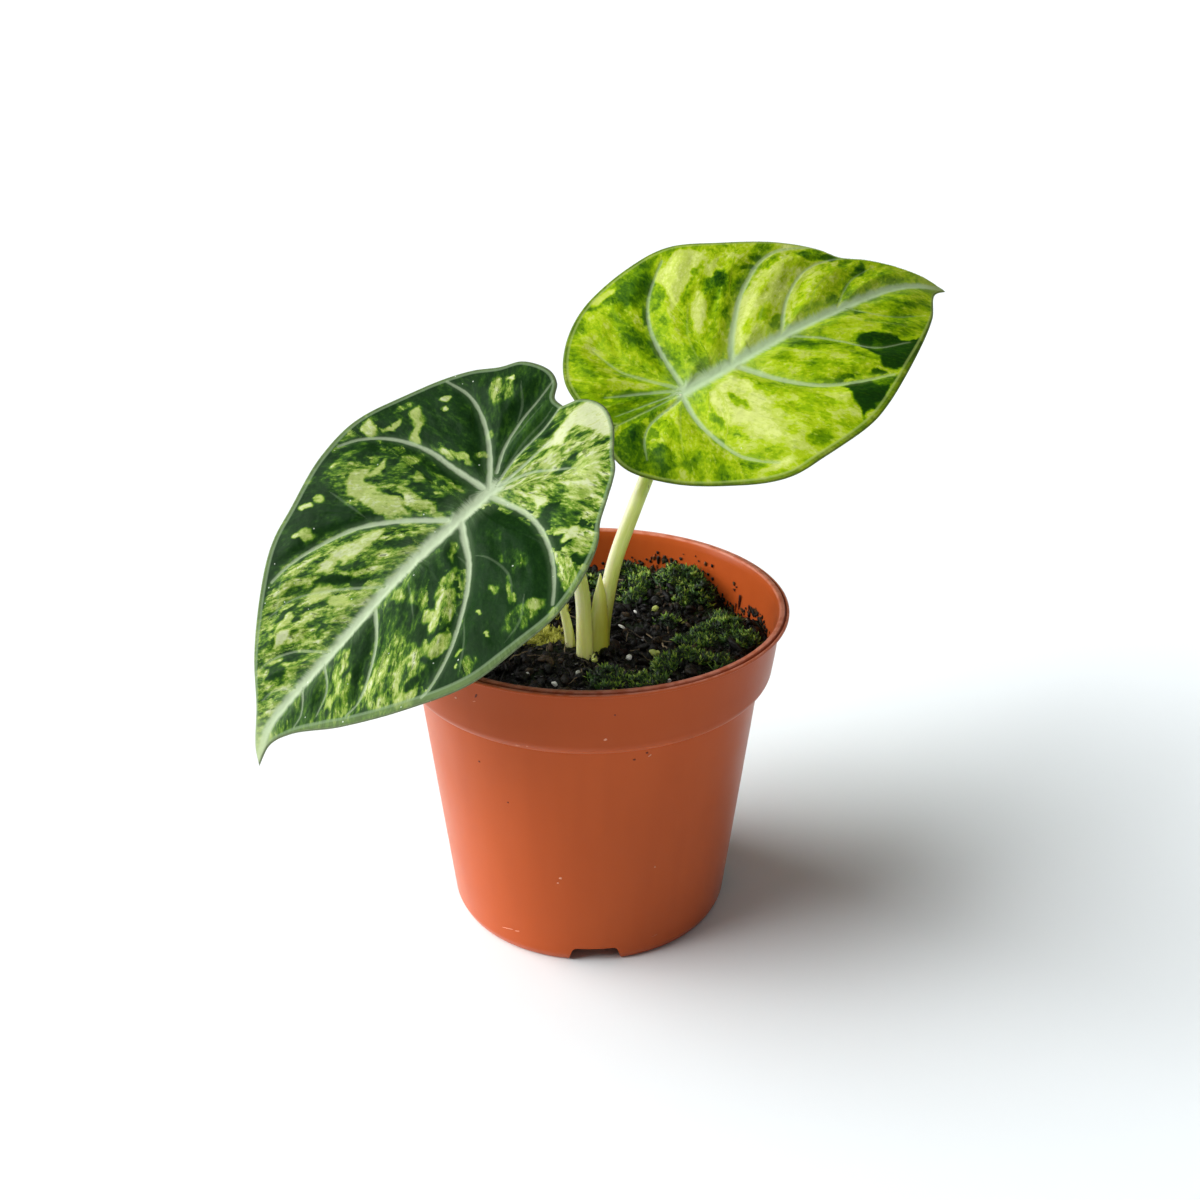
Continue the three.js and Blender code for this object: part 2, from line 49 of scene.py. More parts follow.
CAMERA_PLACE = (0.0, -358.7, 251.9)
CAMERA_LOOKS_ALONG = (0.007525, 0.909585, -0.415450)
CAMERA_LENS = 45.0
CAMERA_SENSOR = 36.0

# Studio. The lamps are suns that stand for the window on the left and for the room: turn is counted
# from +X and rise from the floor, in degrees, and a wider sun is softer. The fill is a narrow soft
# spot from the front, for the stems and the inside of the pot.

SURROUND_STRENGTH = 0.02
FLOOR_HALF = 12000.0
LAMPS = {
    "window": {"strength": 2.42, "width": 60, "turn": 175, "rise": 30},
    "window_top": {"strength": 1.57, "width": 60, "turn": 175, "rise": 45},
    "low_window": {"strength": 1.43, "width": 30, "turn": 175, "rise": 8},
    "front_window": {"strength": 0.94, "width": 30, "turn": 205, "rise": 45},
    "front_room": {"strength": 0.19, "width": 110, "turn": 270, "rise": 60},
    "back_room": {"strength": 0.33, "width": 110, "turn": 45, "rise": 60},
}
FILL = {
    "place": (155.0, -430.0, 468.0), "aim": (3.0, 3.0, 84.0), "watts": 5.2, "cone": 7.0,
    "blend": 0.5, "size": 35.0,
}

# Pot. A pair is a radius and a height on the outside, from the foot up.

RIM_RADIUS = 52.5
POT_HEIGHT = 88.0
WALL = 1.2
FOOT_RADIUS = 36.8
FOOT_WIDTH = 2.0
FOOT_TOP = (37.9, 2.4)
BODY_FOOT_RADIUS = 38.0
CREASE = (45.5, 68.2)
SHOULDER = (47.3, 69.2)
BAND_LOW = (48.6, 70.9)
BAND_MIDDLE = (49.3, 76.0)
BAND_TOP = (50.6, 86.4)
LIP_FOOT = 86.9
LIP_GROOVE = 51.6
LIP_GROOVE_FLOOR = 87.1
FLOOR_CLEARANCE = 4.9
FLOOR_TOP = FLOOR_CLEARANCE + WALL
FLOOR_FILLET = 1.2
CENTRE_PAD_RADIUS = 11.0
FOOT_LEAN = 0.8
NOTCH_TURNS = (-88.0, 2.0, 92.0, 182.0)
NOTCH_REACH = 6.0
NOTCH_CORNERS = [
    (-7.2, -1), (7.2, -1), (6.7, 1.2), (6.1, 3.5), (5.6, 4.3), (4.9, 4.6), (-4.9, 4.6), (-5.6, 4.3),
    (-6.1, 3.5), (-6.7, 1.2),
]
DRAIN_COUNT = 8
DRAIN_RADIUS = 3.5
DRAIN_CIRCLE_RADIUS = 24.0
DRAIN_SIDES = 32
POT_SEGMENTS = 216
SHARP_ANGLE = 34

# Marks on the pot: turn, height, half length, half width, lean and how pale

SCUFFS = [
    (-122.5, 82.5, 0.9, 0.25, 60, 0.05), (-123.5, 80.5, 0.5, 0.18, 20, 0.7),
    (-130.5, 79.5, 0.4, 0.3, 0, 0.9), (-111, 70.2, 0.8, 0.2, 5, 0.95), (-108, 70.6, 0.35, 0.2, 0, 0.9),
    (-85.5, 74, 0.45, 0.3, 20, 0.9), (-124.5, 6.5, 2.0, 0.09, 12, 0.9), (-120, 6.9, 0.8, 0.08, 16, 0.9),
    (-100.5, 28.5, 0.4, 0.3, 0, 0.95), (-101.5, 26.8, 0.3, 0.25, 0, 0.9), (-63.5, 6, 1.1, 0.2, 10, 0.5),
    (-71, 66, 0.5, 0.2, 30, 0.9), (-72, 67, 0.35, 0.3, 0, 0.05), (-76, 65.5, 0.4, 0.25, 0, 0.05),
    (-118, 50, 0.3, 0.2, 0, 0.1), (-83, 81, 0.3, 0.25, 0, 0.1), (-66, 30, 0.3, 0.25, 0, 0.8),
    (-128, 60, 0.35, 0.25, 0, 0.1), (40, 45, 1.4, 0.15, 30, 0.9), (130, 20, 1.8, 0.15, -20, 0.9),
    (85, 60, 0.5, 0.3, 0, 0.1), (-20, 15, 0.5, 0.3, 0, 0.9),
]
SCUFF_DEPTH = 0.12

# Potting mix. Each rise is its x, y, reach and height.

SOIL_LEVEL = 74.4
SOIL_GAP = 0.15
SOIL_SEGMENTS = 420
SOIL_RINGS = 92
SOIL_RISES = [
    (14, 44, 20, 3.4), (29, 35, 11, 4.6), (41, 24, 8, -3), (46, 6, 8, 2.2), (26, -14, 11, 2.4),
    (34, -26, 9, 1.8), (7, -34, 9, 2.0), (-14, -12, 10, 2.2), (-30, 18, 16, 2.0),
    (-24, -34, 14, -1.2), (16, -4, 9, -1.6),
]

# Moss cushions: x, y, reach and how many sprigs. A needle is drawn 1 high, with its points' share
# of the way to the tip.

YELLOW_MOSS = [(-13, 2, 7.5, 230), (-20, 14, 6, 150), (-9, 22, 5, 60), (-27, -4, 5, 70)]
GREEN_MOSS = [
    (7, -23.5, 6, 190), (14, -23, 5, 150), (19, -16, 5, 150), (25, -12, 5, 170), (29, 0, 5, 150),
    (30, 5, 5, 120), (38, 9, 6, 170), (41, 1, 5, 130), (14.7, 33, 5, 120), (22.6, 32, 6, 190),
    (29, 30, 6, 190), (26, 26, 4, 70), (11.7, 27, 4, 80), (33, -14, 5, 120), (-34, 22, 9, 160),
    (-2, 38, 8, 120), (-20, -30, 7, 90), (22, 15, 4, 50), (36, 18, 4, 70), (12, 41, 5, 90),
]
MOSS_CLUMPS = 4
MOSS_NEEDLES = 8
MOSS_WALL_GAP = 1.2
NEEDLE_POINTS = [
    (-0.35, 0, 0), (0.35, 0, 0), (0, 0.3, 0.05), (0.5, 0.1, 0.5), (-0.5, 0.1, 0.5), (0, 0.2, 1),
]
NEEDLE_FACES = [
    (0, 2, 1), (0, 1, 3), (0, 3, 4), (4, 3, 5), (1, 2, 3), (2, 0, 4), (2, 4, 5), (3, 2, 5),
]
NEEDLE_TIPS = [0, 0, 0, 0.5, 0.5, 1.0]
YELLOW_MOSS_COLOURS = [(0.1, (80, 90, 12)), (0.4, (160, 160, 34)), (0.9, (232, 230, 110))]
GREEN_MOSS_COLOURS = [
    (0.1, (4, 13, 3)), (0.42, (15, 40, 6)), (0.62, (42, 84, 12)), (0.8, (124, 160, 36)),
    (1.0, (204, 216, 110)),
]

# White perlite grains: x and y. Yellow-green beads: x, y and radius.

PERLITE = [
    (13.2, 19.7), (8.8, 10.7), (10.5, -7.9), (21.0, 13.7), (27.0, -7.9), (20.3, -21.9),
    (-16.1, -18.3), (-2.8, -17.9), (-8.6, -23.2), (-30, 8), (-22, 30), (-5, 33), (-12, -33),
]
BEADS = [
    (17.0, -3.0, 1.1), (18.2, -3.6, 0.8), (1.3, -8.8, 0.85), (1.5, -10.6, 0.75), (13.6, -9.1, 0.7),
    (18.5, 21.3, 1.0), (15.0, 35.1, 1.0), (20.5, 35.4, 0.9), (12.2, 26.8, 0.8), (30.7, 3.7, 0.8),
    (31.5, -11.0, 0.9), (25.5, 14.0, 0.7),
]

# Mix on the pot's inner wall: turn, lowest height, spread in turn and in height, how many, and
# how tall each is drawn out

WALL_CRUMBS = [
    (72, 77.5, 7, 3.0, 26, 1.0), (62, 76.5, 6, 4.5, 26, 1.0), (66, 80.5, 4, 2.5, 9, 1.6),
    (48, 77.5, 6, 3.0, 30, 1.0), (57, 80, 4, 3, 8, 1.2), (40, 73.5, 4, 4, 14, 1.0),
    (31, 72.5, 5, 3, 22, 1.0), (33, 79, 2, 2, 4, 1.0),
    (24, 73, 3, 4, 12, 1.0), (21.5, 75, 0.6, 4, 6, 1.4), (14, 76.5, 6, 2.5, 24, 1.0),
    (0, 76, 9, 1.8, 22, 1.0), (52, 83, 9, 1.5, 5, 0.8), (95, 76.5, 14, 2.5, 36, 1.0),
    (130, 75.5, 20, 2, 30, 1.0), (175, 75, 25, 1.5, 30, 1.0),
]
WALL_CRUMBS_TOP = 84.5

# Wet streaks on the inner wall: turn, height, half width and half height

WALL_STREAKS = [(28.5, 76.2, 0.55, 3.1), (22.5, 76.0, 0.35, 2.2), (30.2, 74.5, 0.3, 1.6)]

# Stems: the points of each centre line from its foot in the mix, and radii spread evenly along it

STEM_FOOT = 70.3
STEM_STEP = 0.8
STEM_SIDES = 40
STEM_CLEARANCE = 3.2
PETIOLE_SWELL = 1.06
PETIOLE_CHANNEL = 0.12
LEFT_PETIOLE = [
    (-1.3, -5.2, STEM_FOOT), (-1.3, -4.6, 80), (-1.7, -4, 90.5), (-2.9, -4.6, 98),
    (-6.5, -7.2, 107.5), (-12, -11.6, 116.5), (-18, -16.2, 122.8), (-23, -20, 126.1),
]
RIGHT_PETIOLE = [
    (3.1, -1.2, STEM_FOOT), (3.3, -1.2, 80), (4.9, -0.8, 90.7), (7, 0.6, 99.8),
    (11.7, 4.6, 111.6), (16.8, 10.5, 122.6), (21.4, 15.7, 131.6), (25.2, 19.7, 139.2),
]
OLD_STUB = [(-4.9, -1.4, STEM_FOOT), (-5.1, -1.5, 78), (-7, -2, 87.3), (-9.6, -2.8, 93.5)]
CATAPHYLL = [(2.5, -2.7, STEM_FOOT), (2.6, -2.7, 80), (2.9, -2.8, 89), (3, -3, 97)]
LEFT_PETIOLE_RADII = np.array([2.3, 2.15, 2.0, 1.9, 1.8, 1.72, 1.6, 0.9]) * PETIOLE_SWELL
RIGHT_PETIOLE_RADII = np.array([2.3, 2.2, 2.05, 1.95, 1.85, 1.78, 1.6, 0.85]) * PETIOLE_SWELL
OLD_STUB_RADII = [1.55, 1.4, 1.25, 1.0, 0.5]
CATAPHYLL_RADII = [2.7, 2.65, 2.4, 1.7, 0.15]

# Blades. Places on a blade are measured from the petiole's attachment: along the midrib towards
# the tip, then across it, positive on the left for someone who looks down on it towards the tip.
# The outline runs from the tip along the right side to the notch, and back along the left side. A
# vein is its half width at the root and at the end, how pale it is, and its points, and a thin vein
# is only its points. Side veins are listed from the tip to the notch. A margin is places along the
# blade and how far from the edge its marginal vein runs there.

BLADE_STEP = 0.40
UNDERSIDE_STEP = 0.95
BLADE_THICKNESS = 0.7
EDGE_ROUNDING = 0.7
TROUGH_ROUNDING = 5.0
PATH_STEPS = 8
VEIN_STEP = 1.2
OUT_OF_REACH = 9.0

# The blades' relief: how far from a vein the quilting swells, how far from the edge it dies out,
# and the height of each finer form

QUILT_REACH = 5.5
FLAT_MARGIN = 9
WRINKLE = 0.34
FINE_WRINKLE = 0.07
VEIN_TROUGH = 0.22
RIB_DEPTH = 0.75
MARGIN_RIB_DEPTH = 0.2

# The blades' colours: how far and how finely their edges wander, how soft they are, and what keeps
# the noise of each panel and of each side apart

RAGGED_REACH = 1.3
RAGGED_GRAIN = 2.6
FIELD_SOFTNESS = 1.4
PANEL_SHIFT = (31, 57)
RIGHT_SIDE_SHIFT = 40.0

LEFT_LEAF = {
    "attachment": (-23, -20, 126.3), "heading": 209, "dip": 43, "roll": 18,
    "length": 86, "arch": 7, "trough": 0.1, "quilt": 1.25,
    "side_to_notch": [
        (86, -0.7), (83.5, -4.4), (76, -10.4), (67, -19.3), (49, -32.4), (42.5, -35.6),
        (35, -37.7), (20, -42.7), (6.5, -44), (-10.5, -38.4), (-20.5, -32), (-26, -26),
        (-30.6, -22), (-32.7, -14), (-31, -9.6), (-27.6, -7), (-27.2, -3.8),
    ],
    "side_to_tip": [
        (-27.2, -3.8), (-31.2, -1), (-32.9, 5.5), (-30, 12.8), (-24.4, 19), (-21.3, 22.9),
        (-13.8, 28), (-9, 31.2), (-5.5, 34.8), (0, 38.6), (8, 42.2), (15, 43.6), (24, 42.7),
        (37.2, 39.6), (51.5, 29.2), (64.7, 16), (75, 3), (80.5, -0.9), (86, -0.7),
    ],
    "midrib": (2.6, 1.35, 1.0, [
        (-1, 0.2), (12, 0.8), (28.9, 0.5), (48.9, 0.4), (58.8, -0.8), (68.8, -2.6), (78, -3.6),
        (85.9, -0.9)]),
    "sinus": (0.5, 0.3, 0.5, [(-1, -0.2), (-9.7, -2.6), (-20.2, -2.8), (-26.6, -3.8)]),
    "left_side": [
        (0.45, 0.3, 0.55, [(64.4, -1.4), (69.6, 3.1), (73, 3.2)]),
        (0.6, 0.3, 0.6, [(57, 0.1), (61.2, 5.8), (67.2, 7.6)]),
        (0.8, 0.4, 0.75, [(39.5, 2.2), (45.1, 9.3), (51.5, 13.8), (58, 16.4), (62, 15.6)]),
        (1.25, 0.55, 0.95, [
            (10.8, 1.8), (14, 7.6), (16.9, 13.1), (21, 18.1), (25.5, 22.2), (35.1, 28.5),
            (44, 31.2), (47, 31)]),
        (1.2, 0.55, 0.95, [
            (1.4, 1.8), (0.5, 7.6), (-0.3, 13), (0.3, 19.2), (2.4, 25.8), (5, 31), (9.3, 37),
            (12.6, 40.6)]),
        (0.9, 0.4, 0.7, [(-0.6, 0.2), (-8.7, 3.9), (-13, 9), (-16.4, 13.5)]),
        (0.9, 0.35, 0.85, [(-2, 0.6), (-11.3, 0.9), (-18.7, 1.0)]),
    ],
    "right_side": [
        (0.5, 0.3, 0.35, [(66, -3), (70.5, -8.2), (74, -9.4)]),
        (0.6, 0.3, 0.4, [(54, -0.6), (60, -9.5), (66, -14), (69, -15)]),
        (0.6, 0.3, 0.4, [(34, -0.4), (42.5, -11), (51, -19), (58, -21.5)]),
        (1.2, 0.55, 0.95, [
            (12.6, -1.6), (19.8, -10.8), (27.8, -18.3), (37, -23.1), (45.3, -26.3), (51.3, -27.2)]),
        (1.15, 0.55, 0.95, [
            (1, -2), (1.7, -13.6), (1.9, -20.2), (3.4, -27), (6.6, -33.6), (11, -38.5),
            (15.3, -41)]),
        (1.1, 0.5, 0.9, [
            (0.7, -0.5), (-5.6, -7.5), (-10.4, -14), (-13.9, -20.9), (-15.4, -26.9),
            (-14.9, -34.4)]),
        (0.7, 0.35, 0.6, [(-4, -3.2), (-9.8, -7), (-18, -9.4), (-25.4, -10.1), (-31, -10.8)]),
    ],
    "thin_veins": [
        [(-27, -5.8), (-21, -4.4), (-13, -4), (-2, -0.8)],
        [(-25, -8.2), (-18, -7.6), (-10, -6.6), (-3, -2)],
        [(-16, -9.2), (-22, -12.7), (-26.5, -17.5)], [(28.6, 3), (32.9, 11), (35.8, 15.5)],
        [(15.5, 12), (13.4, 18), (13.6, 26), (18, 33)], [(21, 19), (18, 14.6), (17.6, 9)],
        [(24.5, -17.5), (24.8, -24), (25.4, -32)], [(14, 33), (20, 38), (26, 39)],
        [(27, 24.5), (33, 32), (38, 36)], [(46, -27), (52, -23), (60, -18)],
    ],
    "left_margin": ((-30, -8, 4, 30, 66, 76), (0.7, 0.7, 1.3, 2.0, 1.8, 0.6)),
    "right_margin": ((-30, -10, 20, 60, 76), (0.9, 1.2, 1.5, 1.4, 0.5)),
}

RIGHT_LEAF = {
    "attachment": (25.3, 20, 139.6), "heading": 28.5, "dip": -10.5, "roll": -26,
    "length": 87.5, "arch": 8, "trough": 0.07, "quilt": 1.25,
    "side_to_notch": [
        (87, -0.4), (81.5, -1.8), (71.6, -11.9), (54, -25.3), (36, -36.6), (28, -39.8),
        (14, -41.5), (4, -41.2), (-8.7, -33.6), (-19, -25.3), (-26, -15.5), (-26.8, -8),
        (-25, -3), (-21.5, -0.5),
    ],
    "side_to_tip": [
        (-21.5, -0.5), (-25, 2.5), (-25.6, 8), (-24.9, 19.5), (-17.5, 31.4), (-6.5, 39.4),
        (8.5, 42.4), (20, 42), (33, 36), (48.6, 28.7), (57.5, 22.6), (61.5, 18.2), (69.4, 15.3),
        (78, 10.8), (84, 5.9), (87, -0.4),
    ],
    "midrib": (2.8, 1.3, 1.0, [
        (-1.5, -0.8), (12.8, -1.6), (29, -0.9), (44.9, 0.1), (56, 1.2), (67.2, 2.6), (78, 2.4),
        (86.9, 0)]),
    "sinus": (0.4, 0.3, 0.3, [(-1.8, -0.8), (-12, -0.5), (-21.3, -0.5)]),
    "left_side": [
        (0.5, 0.3, 0.3, [(48, 1), (58, 8.5), (69, 12)]),
        (0.9, 0.4, 0.75, [(29, -0.4), (37.3, 9.4), (48.5, 16.6), (58, 17.6), (62, 17)]),
        (1.35, 0.6, 0.95, [
            (13.5, -0.7), (17, 5), (21.5, 10.5), (26.5, 16), (32.1, 20.4), (38, 24.2), (45, 26),
            (55, 24)]),
        (1.0, 0.5, 0.8, [(-0.3, 1.2), (0.8, 15), (2.4, 22), (6, 29), (12, 35.2), (16, 38.6)]),
        (0.8, 0.35, 0.5, [(-1.8, 1.4), (-6.5, 8), (-10.9, 14.4), (-13.6, 24)]),
        (0.9, 0.4, 0.6, [(-1.1, -0.2), (-8.6, 4.4), (-18.6, 9.2)]),
        (0.4, 0.25, 0.6, [(-1.8, -0.5), (-10, 1.2), (-19.6, 2.4)]),
    ],
    "right_side": [
        (0.5, 0.3, 0.3, [(50, 0), (60, -8), (70, -10.5)]),
        (0.7, 0.35, 0.55, [(31, -2.4), (37, -7), (41, -11), (47.1, -17.1), (57.3, -19.1)]),
        (1.3, 0.6, 0.9, [
            (14, -3.6), (19.8, -14), (26.7, -21.6), (35, -25.6), (44.8, -28)]),
        (1.0, 0.5, 0.95, [
            (-2, -2.4), (-3.2, -9), (-3.4, -15.5), (-1.6, -27.3), (1.4, -32.6), (4.4, -36)]),
        (0.8, 0.35, 0.6, [(-2.4, -2.4), (-13.6, -5.1), (-17.6, -9), (-20.4, -14.9)]),
    ],
    "thin_veins": [
        [(8, -4), (9.6, -12), (14, -22)], [(22, -4), (30, -10), (36, -16)], [(6, 2), (8, 12), (14, 22)],
        [(22, 0), (28, 8), (36, 14)], [(38, 1), (47, 9), (56, 13)], [(44, -2), (52, -9), (62, -14)],
        [(-3, 3), (-8, 9), (-17, 20)], [(-3, -3), (-9, -12), (-13, -20)], [(40, -6), (46, -9), (52, -10)],
    ],
    "left_margin": ((-25, 0, 40, 72), (1.2, 1.1, 0.9, 0.5)),
    "right_margin": ((-25, -10, 10, 50, 74), (0.7, 1.0, 1.6, 1.6, 0.5)),
}

# Variegation, from 0 for the darkest green to 1 for cream. A panel is a stretch beside a side vein,
# with its tone and how mottled it is: one before each side vein and one behind the last. A field is
# a region's corners, tone and mottling. A spot is its place along and across, half length, half
# width, turn, tone and mottling.

LEFT_LEAF["left_panels"] = [
    (0.38, 0.7), (0.36, 0.7), (0.32, 0.7), (0.42, 0.8), (0.06, 0.2), (0.60, 0.9), (0.62, 0.9),
    (0.45, 0.7)]
LEFT_LEAF["right_panels"] = [
    (0.52, 0.7), (0.52, 0.9), (0.48, 0.9), (0.50, 0.9), (0.32, 0.8), (0.10, 0.35), (0.12, 0.35),
    (0.14, 0.4)]
LEFT_LEAF["fields"] = [
    ([(-33, 6), (-31, 12), (-27, 14.5), (-26.5, 10), (-25, 5), (-25, 1), (-29, -0.5),
      (-32.5, 1.5)], 0.98, 0.03),
    ([(-26, 4), (-22, 4.5), (-19, 6), (-16.5, 1.2), (-22, 0.2), (-25.5, 0.6)], 1.0, 0.03),
    ([(-24, 15), (-19, 20), (-14, 24), (-9, 22), (-10, 17), (-17, 13)], 0.78, 0.45),
    ([(-6, 16), (-2.5, 15), (-4.5, 11)], 0.97, 0.05),
    ([(4, 5), (13.5, 9), (20, 18), (30, 27), (45, 33), (36, 39.5), (20, 42.5), (9, 41),
      (2, 24), (1.5, 12)], 0.04, 0.22),
    ([(38, 13), (43, 22), (40, 29), (52, 27), (60, 17), (52, 15)], 0.60, 0.9),
    ([(40, 3), (46, 10), (55, 14), (57, 8), (50, 2.5)], 0.10, 0.35),
    ([(16.5, -10), (19, -12), (22, -15), (21.5, -20), (23, -24), (23.3, -27.5), (20, -31),
      (17, -30.5), (15, -28.5), (18, -26), (17, -20), (16, -14)], 0.82, 0.25),
    ([(1.5, -25), (3, -28), (-1, -30), (-3, -34), (-5.2, -34.2), (-4, -30.5)], 0.80, 0.2),
    ([(24, -16), (30, -21), (48, -28), (60, -24), (48, -33), (30, -39), (24, -38), (25, -27)],
     0.08, 0.3),
    ([(8, -36), (9, -31.5), (17, -33), (15, -38.5)], 0.05, 0.15),
    ([(-28, -4.5), (-8, -3.5), (-6, -5), (-12, -9), (-25, -9.5)], 0.2, 0.2),
    ([(-28, -3), (-14, -2.6), (-12, -0.4), (-26, 0)], 0.24, 0.6),
]
LEFT_LEAF["spots"] = [
    (-2.5, 28.3, 2.6, 1.4, 0, 0.90, 0.1), (-3, 33.5, 3, 3, 0, 0.70, 0.6),
    (-1.5, 25.5, 1.5, 1, 0, 0.8, 0.2), (-3, 18.5, 3.4, 2, 0, 0.08, 0.2),
    (-5, 23, 4, 3.4, 0, 0.32, 0.6), (-16, 11, 3.5, 1.3, 0, 0.25, 0.6),
    (-12, 22, 1.6, 1.4, 0, 0.6, 0.2), (-8, 8, 3, 2, 30, 0.62, 0.8), (-14, 6, 3, 2, 10, 0.8, 0.4),
    (10, 23, 2.4, 4, 0, 0.2, 0.5), (8, 13.5, 1.6, 3, 0, 0.16, 0.4),
    (18.5, 26, 0.9, 1.6, -20, 0.42, 0.5), (24, 28, 0.5, 1, 0, 0.8, 0.3),
    (27, 34, 0.5, 0.7, 0, 0.8, 0.3), (19, 37.5, 5, 3, 0, 0.38, 0.8), (15, 37.5, 2, 1.6, 0, 0.6, 0.5),
    (16.5, 32, 1.2, 0.7, 60, 0.7, 0.3), (15.5, 29, 5, 0.7, 60, 0.4, 0.5),
    (35, 36, 3, 2, 0, 0.42, 0.8), (37, 33.5, 0.8, 0.5, 0, 0.8, 0.2), (33.5, 31.5, 1.1, 0.8, 0, 0.66, 0.3),
    (27, 17.5, 3.5, 2, 40, 0.78, 0.4), (30, 19.5, 5, 2.4, 25, 0.62, 0.8),
    (24, 13.5, 4, 1.6, 15, 0.66, 0.7), (33, 17, 2.2, 2, 0, 0.72, 0.5), (37, 18.5, 2.6, 2.4, 0, 0.08, 0.2),
    (31.5, 10, 6.5, 1.0, 60, 0.68, 0.6), (33, 5.5, 2, 1.3, 80, 0.72, 0.5), (22, 8, 4, 2.4, 20, 0.08, 0.4),
    (17.5, 7.5, 3.5, 1, 50, 0.5, 0.7), (49, 27.5, 3, 1.6, -10, 0.70, 0.5),
    (36, 25.5, 3.5, 2, 0, 0.70, 0.5), (42, 22, 5, 2, -15, 0.68, 0.8), (47, 17, 3, 1.6, 0, 0.66, 0.8),
    (41, 28.5, 3, 1.8, 0, 0.1, 0.3), (46.5, 26.5, 2, 1, 0, 0.12, 0.3),
    (43, 19.5, 4, 1.2, 0, 0.35, 0.5), (51, 20.5, 4, 1, -10, 0.35, 0.6), (36, 12, 4, 5, 0, 0.15, 0.5),
    (39.5, 8.5, 3, 3, 0, 0.22, 0.5), (26, 6.5, 5, 3.5, 10, 0.10, 0.4),
    (49, 6, 4, 3.5, 0, 0.1, 0.3), (62, 13, 4, 1.6, 0, 0.5, 0.7), (58.5, 10.5, 4, 1.5, 10, 0.62, 0.8),
    (54.5, 5.5, 4, 2.2, 30, 0.66, 0.8), (62.5, 9, 2, 1.2, 0, 0.66, 0.6), (57, 14, 3, 1.4, 0, 0.2, 0.5),
    (66, 3.5, 7, 3.4, 0, 0.2, 0.4), (38, -8, 5, 1, -60, 0.05, 0.2), (24, -6, 3.5, 1.5, -40, 0.08, 0.3),
    (61, -9, 3.5, 1.3, -60, 0.12, 0.3), (53.5, -17.5, 4, 1, -20, 0.12, 0.3),
    (66.5, -10, 3, 2.2, -40, 0.15, 0.4), (42, -14, 4, 1, -45, 0.1, 0.2), (38, -3.5, 3.2, 2, -20, 0.72, 0.5),
    (43.5, -7.5, 4, 1.6, -60, 0.78, 0.2), (45.5, -13.5, 3.2, 2, -20, 0.80, 0.2),
    (32, -14, 6, 2.2, -25, 0.88, 0.15), (27, -13, 3, 2, -20, 0.88, 0.15), (39, -16, 2.4, 1.4, -20, 0.86, 0.2),
    (59.5, -14, 2.8, 1, -10, 0.95, 0.1), (56.5, -16, 3, 1.2, 0, 0.8, 0.4),
    (63, -6, 1.2, 2.2, -60, 0.55, 0.4), (56.5, -8, 3, 1, -60, 0.7, 0.6), (42, -21.5, 4, 1, -15, 0.68, 0.7),
    (49, -21, 3, 1.3, 0, 0.5, 0.7), (50, -9, 6, 1.0, -60, 0.66, 0.8), (31, -6, 5, 0.9, -55, 0.5, 0.7),
    (35.5, -11, 5, 1.0, -55, 0.2, 0.5), (14, -13, 5.5, 1.8, -85, 0.74, 0.5),
    (12.5, -6, 3, 0.9, -85, 0.68, 0.5), (8.5, -15.5, 2, 1, -85, 0.6, 0.4), (13, -26.5, 3.5, 1, 0, 0.8, 0.3),
    (10, -13, 4, 0.8, -85, 0.08, 0.3), (15.5, -17, 3, 0.6, -85, 0.06, 0.2), (9, -4.5, 2.5, 2.2, 0, 0.12, 0.4),
    (6.5, -22, 3, 2, 0, 0.5, 0.5), (5, -10, 6, 0.8, -85, 0.5, 0.6), (13, -36.5, 3, 3, 0, 0.2, 0.5),
    (18, -34, 4, 3, 0, 0.45, 0.8), (23.5, -17, 4, 1, -85, 0.06, 0.2),
    (37, -27.5, 2.4, 1.6, -60, 0.72, 0.2), (39, -30, 1.4, 0.9, -60, 0.86, 0.1),
    (28.3, -32.5, 2, 1.2, -60, 0.66, 0.3), (32, -33.5, 2, 0.8, -45, 0.86, 0.2),
    (-2, -13, 4, 0.9, -83, 0.76, 0.3), (-5.5, -9.5, 2, 0.9, -50, 0.55, 0.6), (0, -18, 4, 1, -85, 0.55, 0.6),
    (1.5, -34, 1.5, 0.9, 0, 0.76, 0.2), (3.8, -34.5, 1.8, 0.9, -60, 0.76, 0.2),
    (7, -38.5, 3.2, 1.9, 70, 0.86, 0.3), (1, -36.5, 3, 1.6, 0, 0.1, 0.3), (-3, -37, 3, 1.2, -20, 0.4, 0.6),
    (-21, -20, 4, 3.4, 60, 0.5, 0.8), (-22, -22.5, 1.6, 1.2, 0, 0.62, 0.5), (-11, -13, 1.4, 1, 40, 0.6, 0.5),
    (-25, -20, 0.7, 0.9, 0, 0.95, 0.1), (-11, -30, 1.2, 1, 0, 0.9, 0.2), (-8.5, -27.5, 0.8, 1.2, 0, 0.9, 0.2),
]

